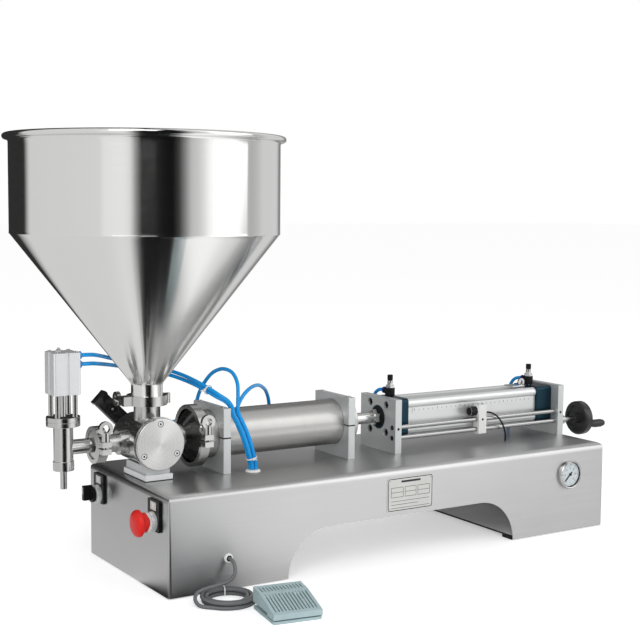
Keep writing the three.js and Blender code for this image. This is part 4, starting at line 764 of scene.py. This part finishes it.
# the boxes' corners are measured from the fitting's middle, the label's and the mark's from the panel's face
panel = {"face": -37.5, "y": 102, "z": 106,
         "label": ((-0.5, -9, 17), (0.2, 9, 29)), "mark": ((-0.7, -3.2, 19.5), (-0.3, 3.2, 26.5)),
         "line": ((-64.2, -0.7, 2), (-63.4, 0.7, 13)),
         "ring": [(7.6, -45.65), (13.9, -45.65), (14.8, -44.9), (14.8, -37.6), (7.6, -37.6)],
         "head": [(0, -70), (7, -69.9), (12, -69.2), (16, -67.8), (18.6, -65.6), (19.8, -63), (20, -61.2),
                  (19.4, -59.4), (17.4, -58), (15.4, -57.2), (14.7, -55.6), (14.6, -53), (14.5, -50.8),
                  (13.7, -49.9), (7, -49.9), (7, -32), (0, -32)]}


def boxAt(spot, corners):
    # the low and the high corner, measured from a spot
    return [Vector(spot) + Vector(corner) for corner in corners]


def makePanel(p):
    for side, label in ((-1, "stop"), (1, "selector")):
        y = side * p["y"]
        dressNode(label + "_body", "blackPlastic", 0.5)
        spot = (p["face"], y, p["z"])
        boxPiece(label + "_label", *boxAt(spot, p["label"]), "labelPaper", "white_plastic", 0.2)
        boxPiece(label + "_label_mark", *boxAt(spot, p["mark"]), "whitePlastic", edge=0.1)
        ringPiece(label + "_ring", p["ring"], (0, y, p["z"]), "x", 48, "paleAluminium")
    button = spinPiece("stop_head", p["head"], (0, -p["y"], p["z"]), "x", 64, "redPlastic",
                       slotOf["stop_button"], bodyOf["stop_button"], angle=50)
    button.visible_glossy = False  # keeps its red off the cone
    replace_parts(button, "stop_button")
    dressNode("selector_knob", "blackPlastic", 1.2, 3)
    boxPiece("selector_line", *boxAt((0, p["y"], p["z"]), p["line"]), "whitePlastic", edge=0.2,
             body=bodyOf["selector_knob"])


makePanel(panel)

bushes = {"cable": (62.3, 0, 48.2), "hose": (157, -50, 0),
          "mouth": [(2.8, -149.15), (4.5, -149.15), (4.6, -148.8), (2.8, -148.8)],
          "cableProfile": [(0, -143), (5.2, -143), (5.2, -146), (7, -146), (7, -147.4), (6.3, -148.6),
                           (5, -149), (3.4, -148.8), (3.1, -147.5), (0, -147.5)],
          "hoseProfile": [(0, 145.2), (9, 145.2), (9, 150), (12, 150), (12, 150.9), (11.2, 152.2), (9.8, 153),
                          (0, 153)]}


def makeBushes(b):
    piece = spinPiece("cable_bush", b["cableProfile"], b["cable"], "y", 48, "whitePlastic")
    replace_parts(piece, "cable_grommet")
    # a black ring in the bush's mouth: painted shade, the dark of the hole the cable leaves by
    ringPiece("cable_bush_mouth", b["mouth"], b["cable"], "y", 36, "blackRubber", "white_plastic")
    piece = spinPiece("hose_bush", b["hoseProfile"], b["hose"], "z", 48, "whitePlastic")
    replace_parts(piece, "hose_grommet")


makeBushes(bushes)
print("bench ready")


# ---- valve with its clamps and the nozzle

dressNode("valve_pedestal", "plateAluminium", 0.6)
pedestal = {"foot": ((-22.5, -43.5, 151.2), (22.5, 37, 160)),
            "bottomStrip": ((-22.2, -43.2, 149.9), (22.2, 36.7, 151.3))}
boxPiece("pedestal_foot", *pedestal["foot"], "paleAluminium", slotOf["valve_pedestal"], 0.7)
# a thin black strip under the foot, drawn for the dark line along the foot's bottom edge
boxPiece("pedestal_bottom_strip", *pedestal["bottomStrip"], "blackRubber", slotOf["tray_left"], 0.2)
dressNode("valve_body", "valveSteelPaintedShade", 0.7)
dressNode("valve_rotor", "turnedSteel")
dressNode("valve_actuator", "blackGloss", 0.8).visible_glossy = False
dressNode("valve_cover", "coverSteel", 0.4)

coverScrews = {"angles": (90, 210, 330), "ring": 31, "front": -47.2, "head": (4.9, 2.2, 2.4),
               "rim": [(1.7, -48.8), (3.5, -48.8), (3.8, -48.4), (3.8, -48.1), (1.7, -48.1)]}


def makeCoverScrews(c):
    for i, angle in enumerate(map(radians, c["angles"])):
        x, z = c["ring"] * cos(angle), pumpLine + c["ring"] * sin(angle)
        # each screw head is near black as painted shade, the shade in its counterbore and socket, with a pale
        # ring on top for the silver head
        socketScrew(f"cover_screw_{i}", "y", (x, c["front"], z), c["head"], "darkSteel")
        ringPiece(f"cover_screw_rim_{i}", c["rim"], (x, 0, z), "y", 24, "paleAluminium")


makeCoverScrews(coverScrews)

rackBoss = {"lean": radians(45), "along": 56, "across": 5,
            "boss": [(0, 48), (6, 48), (7.1, 48.8), (8.5, 49.2), (8.5, 51), (0, 51)],
            "screw": [(0, 47.4), (2, 47.4), (2.2, 48.4), (0, 48.4)]}


def makeRackBoss(r):
    down = Vector((-sin(r["lean"]), 0, cos(r["lean"])))
    side = Vector((cos(r["lean"]), 0, sin(r["lean"])))
    spot = Vector((0, 0, pumpLine)) + down * r["along"] + side * r["across"]
    spinPiece("rack_boss", r["boss"], spot, "y", 32, "blackPlastic")
    spinPiece("rack_boss_screw", r["screw"], spot, "y", 20)


makeRackBoss(rackBoss)

for name in ("hopper_clamp", "outlet_clamp", "cylinder_clamp"):
    dressNode(name, "polishedSteel", 0.7)
    dressNode(name + "_nut", "polishedSteel", 0.9, 3)
dressNode("nozzle_body", "polishedSteel", 0.5)
dressNode("nozzle_bracket", "polishedSteel", 0.6)
dressNode("nozzle_actuator", "paleAluminium", 0.5)
dressNode("nozzle_plunger", "polishedSteel", 0.3)

nozzle = {"x": -134, "screwHeight": 348.6, "screws": 14.5, "screwHead": (2.8, 2.4, 1.4),
          "nutPlace": (-140, 0, 0),
          "nut": [(0, 348), (4.5, 348), (4.5, 351.2), (3.2, 352), (2.2, 352), (2.2, 354.2), (0, 354.4)],
          "ports": (341.6, 328.3), "hex": [(5.1, -112.6), (6.2, -112.6), (6.2, -109.4), (5.1, -109.4)],
          "collar": [(3.15, -108.2), (5.6, -108.2), (5.9, -107.6), (5.9, -106.2), (5.2, -105.4),
                     (3.15, -105.4)]}


def squarePlaces(reach):
    # the four corners of a square, in the order the screws are numbered
    return [(first * reach, second * reach) for first in (-1, 1) for second in (-1, 1)]


def makeNozzleDetails(n):
    for i, (dx, dy) in enumerate(squarePlaces(n["screws"])):
        socketScrew(f"nozzle_top_screw_{i}", "z", (n["x"] + dx, dy, n["screwHeight"]), n["screwHead"])
    hexPiece("nozzle_top_nut", n["nut"], n["nutPlace"], "z", closed=False)
    for i, z in enumerate(n["ports"]):
        ringPiece(f"nozzle_port_collar_{i}", n["collar"], (0, 0, z), "x", 24, "blueHose")
        hexPiece(f"nozzle_port_hex_{i}", n["hex"], (0, 0, z), "x")


makeNozzleDetails(nozzle)
for piece in bpy.data.objects:  # the cone above would mirror these as smears
    if piece.name.startswith("nozzle_") and piece.name not in nodes:
        piece.visible_glossy = False
print("valve and nozzle ready")


# ---- product cylinder, plates and air cylinder

productTube = {"face": 76.5, "ferrule": 44, "radius": 37.5, "bore": 32.5, "shoulder": 90.5, "back": 363.4}


def makeProductTube(t):
    face, ferrule, radius, bore, back = t["face"], t["ferrule"], t["radius"], t["bore"], t["back"]
    profile = [(bore, face), (ferrule, face), (ferrule, face + 2.5), (ferrule - 2.5, face + 5),
               (ferrule - 3.6, face + 8), (radius + 1, face + 11.5), (radius, t["shoulder"]),
               (radius, back - 0.8), (radius - 0.8, back), (bore + 0.5, back), (bore, back - 0.5)]
    piece = ringPiece("product_tube", profile, (0, 0, pumpLine), "x", 96, "tubeSteel", "brushed_steel")
    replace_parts(piece, "product_cylinder")


makeProductTube(productTube)
dressNode("product_piston", "whitePlastic", 0.3)
rodNut = {"from": 415, "to": 428, "outside": 10.6, "shrink": 0.78}


def slimNut(obj, n):
    # the lock nut drawn in to the size that shows
    for vertex in obj.data.vertices:
        x, y, z = vertex.co / mm
        if n["from"] < x < n["to"] and hypot(y, z - pumpLine) > n["outside"]:
            vertex.co.y *= n["shrink"]
            vertex.co.z = pumpLine * mm + (vertex.co.z - pumpLine * mm) * n["shrink"]
    obj.data.update()


slimNut(dressNode("piston_rod", "polishedSteel", 0.4), rodNut)
rodGland = [(10.4, 427.2), (15, 427.2), (16.4, 428), (17.2, 429.4), (17.2, 432), (10.4, 432)]
ringPiece("rod_gland", rodGland, (0, 0, pumpLine), "x", 48, "blackRubber", "black_plastic")
for name in ("front_plate_lower", "front_plate_upper", "rear_plate_lower", "rear_plate_upper", "cap_plate",
             "end_plate"):
    dressNode(name, "plateAluminium", 0.7)
for name in ("air_cap_front", "air_cap_rear"):
    dressNode(name, "darkAnodised", 0.8)
dressNode("air_barrel", "barrelAluminium", 0.3)
for name in ("guide_rod", "lead_screw"):
    dressNode(name, "rodSteel", 0.3)

plateSlitShade = {"x": (104.4, 334.4), "thickness": 13, "side": 51.5, "depth": 13.2, "z": (205, 207), "proud": 0.1}


def makePlateSlitShade(g):
    # black strips in the slit between the upper and the lower half of each plate round the pump: painted
    # shade, standing for the slit's own shadow
    for i, x in enumerate(g["x"]):
        for j, side in enumerate((-1, 1)):
            y = sorted((side * (g["side"] - g["depth"]), side * (g["side"] + g["proud"])))
            low = (x - g["proud"], y[0], g["z"][0])
            high = (x + g["thickness"] + g["proud"], y[1], g["z"][1])
            boxPiece(f"plate_slit_shade_{i}_{j}", low, high, "blackRubber", slotOf["tray_left"], 0.2)


makePlateSlitShade(plateSlitShade)

rodPlaces = {"y": -42, "guide": 193, "screw": 175.5}
plateScrews = {"capHead": (5.2, 4, 2.4), "capX": 433, "capSquare": 23.25,
               "rodSink": [(0, 428.1), (2.6, 428.1), (3.3, 427.9), (4.1, 428.1), (4.1, 428.5), (0, 428.5)],
               "grubX": (434.9, 798.9), "grubHeight": 191.5,
               "grub": [(0, -51.9), (1.9, -51.9), (2.3, -51.6), (2.3, -51.2), (0, -51.2)],
               "topX": (110.9, 340.9), "topY": 40, "topHeight": 252.4, "topHead": (4, 1.6, 2)}


def makePlateScrews(s):
    for i, (dy, dz) in enumerate(squarePlaces(s["capSquare"])):
        socketScrew(f"cap_plate_screw_{i}", "x", (s["capX"], dy, pumpLine + dz), s["capHead"], "blackPlastic")
    for i, z in enumerate((rodPlaces["guide"], rodPlaces["screw"])):
        spinPiece(f"rod_end_sink_{i}", s["rodSink"], (0, rodPlaces["y"], z), "x", 24, "darkSteel",
                  "black_plastic")
    for i, x in enumerate(s["grubX"]):  # a grub screw on the front edge of each plate that holds the rods
        spinPiece(f"plate_grub_{i}", s["grub"], (x, 0, s["grubHeight"]), "y", 20, "blackPlastic")
    for i, (x, side) in enumerate([(x, side) for x in s["topX"] for side in (-1, 1)]):
        socketScrew(f"plate_top_screw_{i}", "z", (x, side * s["topY"], s["topHeight"]), s["topHead"])


makePlateScrews(plateScrews)

ruler = {"x": (480, 745), "y": (-29, -28), "z": (212.5, 221), "margin": 4, "ticks": 27, "tickHalf": 0.35,
         "tickY": (-29.14, -28.9), "tickFoot": 216, "tickTops": (218.6, 219.8)}
barrelBracket = {"strap": ((716, -14, 238), (744, 10, 240.5)), "foot": ((733, -12, 239.5), (743, -9, 243)),
                 "eye": [(3.2, -12), (7.2, -12), (7.2, -9), (3.2, -9)], "eyePlace": (738, 0, 246)}


def makeRuler(r):
    (x0, x1), (y0, y1), (z0, z1) = r["x"], r["y"], r["z"]
    boxPiece("stroke_rule", (x0, y0, z0), (x1, y1, z1), "barrelAluminium", "satin_aluminium", 0.1)
    ticks = []
    for i in range(r["ticks"]):
        x = x0 + r["margin"] + i * (x1 - x0 - 2 * r["margin"]) / (r["ticks"] - 1)
        top = r["tickTops"][1 if i % 5 == 0 else 0]
        ticks.append(boxPiece(f"rule_tick_{i}", (x - r["tickHalf"], r["tickY"][0], r["tickFoot"]),
                              (x + r["tickHalf"], r["tickY"][1], top), "dialInk", edge=0))
    joinPieces("stroke_rule_ticks", ticks)


def makeBarrelBracket(b):
    boxPiece("barrel_bracket", *b["strap"])
    ringPiece("barrel_bracket_eye", b["eye"], b["eyePlace"], "y", 28)
    boxPiece("barrel_bracket_foot", *b["foot"], edge=0.3)


makeRuler(ruler)
makeBarrelBracket(barrelBracket)

for name in ("front_flow_control", "rear_flow_control", "front_flow_knob", "rear_flow_knob"):
    dressNode(name, "blackPlastic", 0.4)

flowParts = {"hex": [(3.3, 238.6), (7.6, 238.6), (7.6, 241.6), (3.3, 241.6)],
             "collar": [(4.15, 254.6), (7.8, 254.6), (7.8, 258.6), (7.2, 259.2), (5.2, 259.2), (5.2, 262.4),
                        (4.15, 262.4)],
             "stem": [(4.02, 262.5), (4.5, 262.5), (4.5, 266.8), (4.02, 266.8)],
             "hoseCollar": [(3.15, 17.6), (5.4, 17.6), (5.8, 17), (5.8, 14), (5.05, 13.6), (5.05, 16.2),
                            (3.15, 16.2)], "hoseHeight": 248.5}


def makeFlowDetails(f):
    for label, x in flowPlaces.items():
        hexPiece(label + "_flow_hex", f["hex"], (x, 0, 0), "z")
        hexPiece(label + "_flow_collar", f["collar"], (x, 0, 0), "z")
        ringPiece(label + "_flow_stem", f["stem"], (x, 0, 0), "z", 28)
        ringPiece(label + "_hose_collar", f["hoseCollar"], (x, 0, f["hoseHeight"]), "y", 28, "blueCollar")


makeFlowDetails(flowParts)
dressNode("sensor_block", "whitePlastic", 0.4)
dressNode("handwheel", "wheelPlastic", 0.8, 3)
dressNode("crank_grip", "wheelPlastic", 0.6)

sensor = {"x": 617.5, "topScrews": (-4.5, 4.5), "topY": -42, "topHeight": 219.4, "topHead": (2.4, 2.2, 1.2),
          "setHeight": 193, "setScrew": [(0, -50.5), (1.8, -50.5), (2.1, -50.2), (2.1, -49.8), (0, -49.8)],
          "reed": (0, -41.7, 208), "sleeve": [(8.02, 594), (8.4, 594), (8.4, 606.5), (8.02, 606.5)],
          "front": [(0, 592.4), (6.4, 592.4), (8.0, 593.2), (8.0, 594), (0, 594)]}


def makeSensorDetails(s):
    body = bodyOf["sensor_block"]
    for i, dx in enumerate(s["topScrews"]):
        spot = (s["x"] + dx, s["topY"], s["topHeight"])
        socketScrew(f"sensor_top_screw_{i}", "z", spot, s["topHead"], body=body)
    spot = (s["x"], 0, s["setHeight"])
    spinPiece("sensor_set_screw", s["setScrew"], spot, "y", 20, "blackPlastic", body=body)
    ringPiece("reed_sleeve", s["sleeve"], s["reed"], "x", 32, "blackPlastic", body=body)
    spinPiece("reed_front", s["front"], s["reed"], "x", 32, "blackPlastic", body=body)


makeSensorDetails(sensor)
wheelNut = [(0, 860), (6, 860), (6, 863.6), (4.6, 864.2), (0, 864.4)]
hexPiece("wheel_nut", wheelNut, (0, rodPlaces["y"], rodPlaces["screw"]), "x", bodyOf["handwheel"], False)
print("cylinders ready")


# ---- foot switch and ties

dressNode("foot_base", "greyPaint", 0.4)
footSwitch = {"centre": (82, -282), "turn": -0.157, "side": 35.9, "toe": -39.9, "above": 12, "round": 4,
              "steps": 5, "sharp": 25}


def roundPedal(f):
    # the hood's outer edges are well rounded, its slots stay crisp
    obj = dressNode("foot_pedal", "greyPaint")
    makeActive(obj)
    turn = Matrix.Rotation(-f["turn"], 2)
    places = []
    for vertex in obj.data.vertices:
        across, along = turn @ (vertex.co.to_2d() / mm - Vector(f["centre"]))
        places.append((abs(across) > f["side"], along < f["toe"], vertex.co.z / mm > f["above"]))
    setMode("EDIT")
    bpy.ops.mesh.select_mode(type="EDGE")
    selectMesh("DESELECT")
    bpy.ops.mesh.edges_select_sharp(sharpness=radians(f["sharp"]))
    setMode("OBJECT")
    for edge in obj.data.edges:
        a, b = [places[i] for i in edge.vertices]
        edge.select = edge.select and a[2] and b[2] and ((a[0] and b[0]) or (a[1] and b[1]))
    setMode("EDIT")
    bpy.ops.mesh.bevel(offset=f["round"] * mm, segments=f["steps"], clamp_overlap=True)
    setMode("OBJECT")
    bpy.ops.object.shade_smooth_by_angle(angle=radians(35))


roundPedal(footSwitch)

# white cable ties: middle, direction of the hoses there, inner radius
ties = {"hose_tie_low": ((154.4, -49.8, 171), (-0.245, 0.02, 0.97), 8.1),
        "hose_tie_high": ((97.6, -12.8, 277.3), (-0.34, 0.83, 0.32), 6.9)}
tieStrap = {"width": 2.4, "thick": 0.9, "lock": (3.2, 4.6, 3.6), "tail": (9, 2.2, 0.8), "tailAside": 0.6,
            "sides": 40}
coilTie = {"angle": 72, "inner": 25.6, "outer": 43.9, "top": 12.6, "foot": 0.3, "width": 1.8, "thick": 0.7,
           "round": 4, "steps": 5}


def hoseTie(name, centre, along, radius, t):
    # a flat strap round the hoses: an open band given its thickness, with its lock and cut tail
    turn = Vector(along).to_track_quat("Z", "Y")
    middle = Vector(centre)
    band = added(bpy.ops.mesh.primitive_cylinder_add, vertices=t["sides"], radius=radius * mm,
                 depth=t["width"] * mm, end_fill_type="NOTHING", location=middle * mm,
                 rotation=turn.to_euler())
    applyPlace(band)
    applyChange(band, "Wall", "SOLIDIFY", thickness=t["thick"] * mm, offset=1)
    roundEdges(band, 0.2, 2, 50)
    parts = [finishPiece(band, name, "whitePlastic")]
    lockPlace = radius + t["lock"][0] / 2
    for label, place in (("lock", (lockPlace, 0, 0)),
                         ("tail", (lockPlace + t["tail"][0] / 2, t["tailAside"], 0))):
        block = newBlock(middle + turn @ Vector(place), t[label], turn.to_euler())
        roundEdges(block, 0.3)
        parts.append(finishPiece(block, f"{name}_{label}", "whitePlastic"))
    joinPieces(name, parts)


def tieCoil(c):
    # a thin strap over the coiled lead, round at its shoulders and open under it
    turn = radians(c["angle"])
    reach = (c["inner"] + c["outer"]) / 2
    middle = (footCoil["centre"][0] + reach * cos(turn), footCoil["centre"][1] + reach * sin(turn),
              (c["top"] + c["foot"]) / 2)
    strap = newBlock(middle, (c["outer"] - c["inner"], c["width"], c["top"] - c["foot"]), (0, 0, turn))
    along = Vector((-sin(turn), cos(turn), 0))
    pick(strap, "FACE", lambda face: abs(face.normal.dot(along)) > 0.9 or face.normal.z < -0.9)
    bpy.ops.mesh.delete(type="FACE")
    setMode("OBJECT")
    roundEdges(strap, c["round"], c["steps"])
    applyChange(strap, "Wall", "SOLIDIFY", thickness=c["thick"] * mm, offset=1)
    finishPiece(strap, "coil_tie", "whitePlastic")


for name, (centre, along, radius) in ties.items():
    hoseTie(name, centre, along, radius, tieStrap)
tieCoil(coilTie)
print("foot switch ready")


# ---- studio

# what polished metal sees round the machine: (degrees from the camera, to its right, and tone)
wallTones = [(-180, 0.03), (-119, 0.03), (-111, 0.75), (-60, 0.78), (-38, 0.80), (-34, 0.93), (-18, 0.93),
             (-13, 0.84), (-8.5, 0.30), (-4, 0.01), (22, 0.004), (27, 0.05), (32, 0.27), (37.5, 0.62),
             (43, 0.71), (48, 0.88), (54, 1.18), (77, 1.22), (84.5, 0.84), (91, 0.57), (98, 0.52),
             (106, 0.60), (115, 0.74), (143, 0.72), (149, 0.60), (155, 0.26), (162, 0.22), (167, 0.42),
             (173, 0.42), (177, 0.09)]
floorTones = [(-180, 0.05), (-168, 0.05), (-152, 0.74), (-40, 0.78), (-30, 0.85), (-18, 0.85), (-10, 0.15),
              (-5, 0.01), (28, 0.01), (33, 0.30), (37, 0.60), (41, 1.15), (76, 1.15), (86, 0.92), (105, 0.82),
              (125, 0.75), (148, 0.70), (162, 0.3), (176, 0.06)]
coneTones = [(-180, 0.05), (-170, 0.05), (-156, 0.74), (-60, 0.78), (-30, 0.87), (-20, 0.80), (-13, 0.40),
             (-7, 0.05), (-2, 0.006), (36, 0.006), (44, 0.06), (54, 0.31), (64, 0.62), (76, 0.74), (88, 1.02),
             (100, 1.22), (122, 1.2), (136, 0.95), (150, 0.72), (165, 0.5), (174, 0.2)]
# from level to straight overhead
riseTones = [(0, 1.0), (0.12, 1.0), (0.40, 1.08), (0.60, 1.04), (0.80, 1.0), (1, 0.9)]
# lamps: name, place, size, energy, seen in reflections
studio = {"floorSize": 60, "floorColour": (0.90, 0.90, 0.90), "floorLift": 0.42, "under": (0.27, 0.34),
          "near": (1.0, 1.5), "white": (1, 1, 1), "skyLight": 0.62, "aim": (0.3, 0, 0.2),
          "lamps": [("key", (-1.6, -2.4, 2.6), 2.2, 32, True), ("fill", (2.6, -2.2, 1.6), 2.4, 16, True),
                    ("low", (-0.75, -2.1, 0.22), 0.9, 13, False)]}


def toneRamp(tree, share, stops):
    # the first stop stands at 0 and the last at 1
    ramp = node(tree, "ShaderNodeValToRGB", {"Fac": share})
    places = ramp.color_ramp.elements
    for end in (0, -1):
        places[end].color = (*[stops[end][1]] * 3, 1)
    for place, tone in stops[1:-1]:
        places.new(place).color = (tone, tone, tone, 1)
    return ramp.outputs["Color"]


def toneRound(tree, parts, tones):
    # tone by the angle round the upright axis
    towards = degrees(atan2(cameraView["place"][1], cameraView["place"][0]))
    turn = maths(tree, "ARCTAN2", parts["Y"], parts["X"])
    share = maths(tree, "ADD", maths(tree, "DIVIDE", turn, tau), 0.5)
    stops = sorted((((angle + towards) / 360 + 0.5) % 1, tone) for angle, tone in tones)
    (firstPlace, firstTone), (lastPlace, lastTone) = stops[0], stops[-1]
    seam = lastTone + (firstTone - lastTone) * (1 - lastPlace) / (firstPlace + 1 - lastPlace)
    return toneRamp(tree, share, [(0, seam)] + stops + [(1, seam)])


def mixShaders(tree, share, first, second):
    return node(tree, "ShaderNodeMixShader", {"Fac": share, 1: first, 2: second}).outputs[0]


def makeFloor(s):
    floor = added(bpy.ops.mesh.primitive_plane_add, size=s["floorSize"], location=(0, 0, 0))
    floor.name = "studio_floor"
    material = bpy.data.materials.new("floorPaint")
    material.use_nodes = True
    tree = material.node_tree
    tree.nodes.clear()
    path = node(tree, "ShaderNodeLightPath").outputs
    matte = node(tree, "ShaderNodeBsdfDiffuse", {"Color": s["floorColour"]})
    shine = maths(tree, "MULTIPLY", path["Is Camera Ray"], s["floorLift"])
    lift = node(tree, "ShaderNodeEmission", {"Strength": shine})
    plain = node(tree, "ShaderNodeAddShader", {0: matte.outputs[0], 1: lift.outputs[0]})
    spot, parts = splitPlace(tree, "Object")
    reach = arrows(tree, "LENGTH", spot)["Value"]
    tones = toneRound(tree, parts, coneTones)
    for zone, further in ((s["under"], floorTones), (s["near"], wallTones)):
        tones = mixColours(tree, remap(tree, reach, 0, 1, *zone), tones, toneRound(tree, parts, further))
    mirrored = node(tree, "ShaderNodeEmission", {"Color": tones})
    seen = mixShaders(tree, path["Is Glossy Ray"], plain.outputs[0], mirrored.outputs[0])
    node(tree, "ShaderNodeOutputMaterial", {"Surface": seen})
    material.cycles.emission_sampling = "NONE"
    floor.data.materials.append(material)


def makeSky(s):
    world = bpy.data.worlds.new("studio")
    bpy.context.scene.world = world
    world.use_nodes = True
    tree = world.node_tree
    tree.nodes.clear()
    soft = node(tree, "ShaderNodeBackground", {"Strength": s["skyLight"], "Color": s["white"]})
    white = node(tree, "ShaderNodeBackground", {"Color": s["white"]})
    parts = splitPlace(tree, "Generated")[1]
    height = toneRamp(tree, parts["Z"], riseTones)
    shade = arrows(tree, "MULTIPLY", toneRound(tree, parts, wallTones), height)["Vector"]
    mirrored = node(tree, "ShaderNodeBackground", {"Color": shade})
    path = node(tree, "ShaderNodeLightPath").outputs
    clear = maths(tree, "MAXIMUM", path["Is Camera Ray"], path["Is Transmission Ray"])
    plain = mixShaders(tree, clear, soft.outputs[0], white.outputs[0])
    seen = mixShaders(tree, path["Is Glossy Ray"], plain, mirrored.outputs[0])
    node(tree, "ShaderNodeOutputWorld", {"Surface": seen})


def makeLamps(s):
    for name, place, size, energy, mirrored in s["lamps"]:
        lamp = added(bpy.ops.object.light_add, type="AREA", location=place)
        lamp.name = name
        lamp.data.size = size
        lamp.data.energy = energy
        lamp.visible_glossy = mirrored
        lamp.rotation_euler = (Vector(s["aim"]) - Vector(place)).to_track_quat("-Z", "Y").to_euler()


makeFloor(studio)
makeSky(studio)
makeLamps(studio)
bpy.context.scene.view_settings.view_transform = "Standard"

print("studio ready")
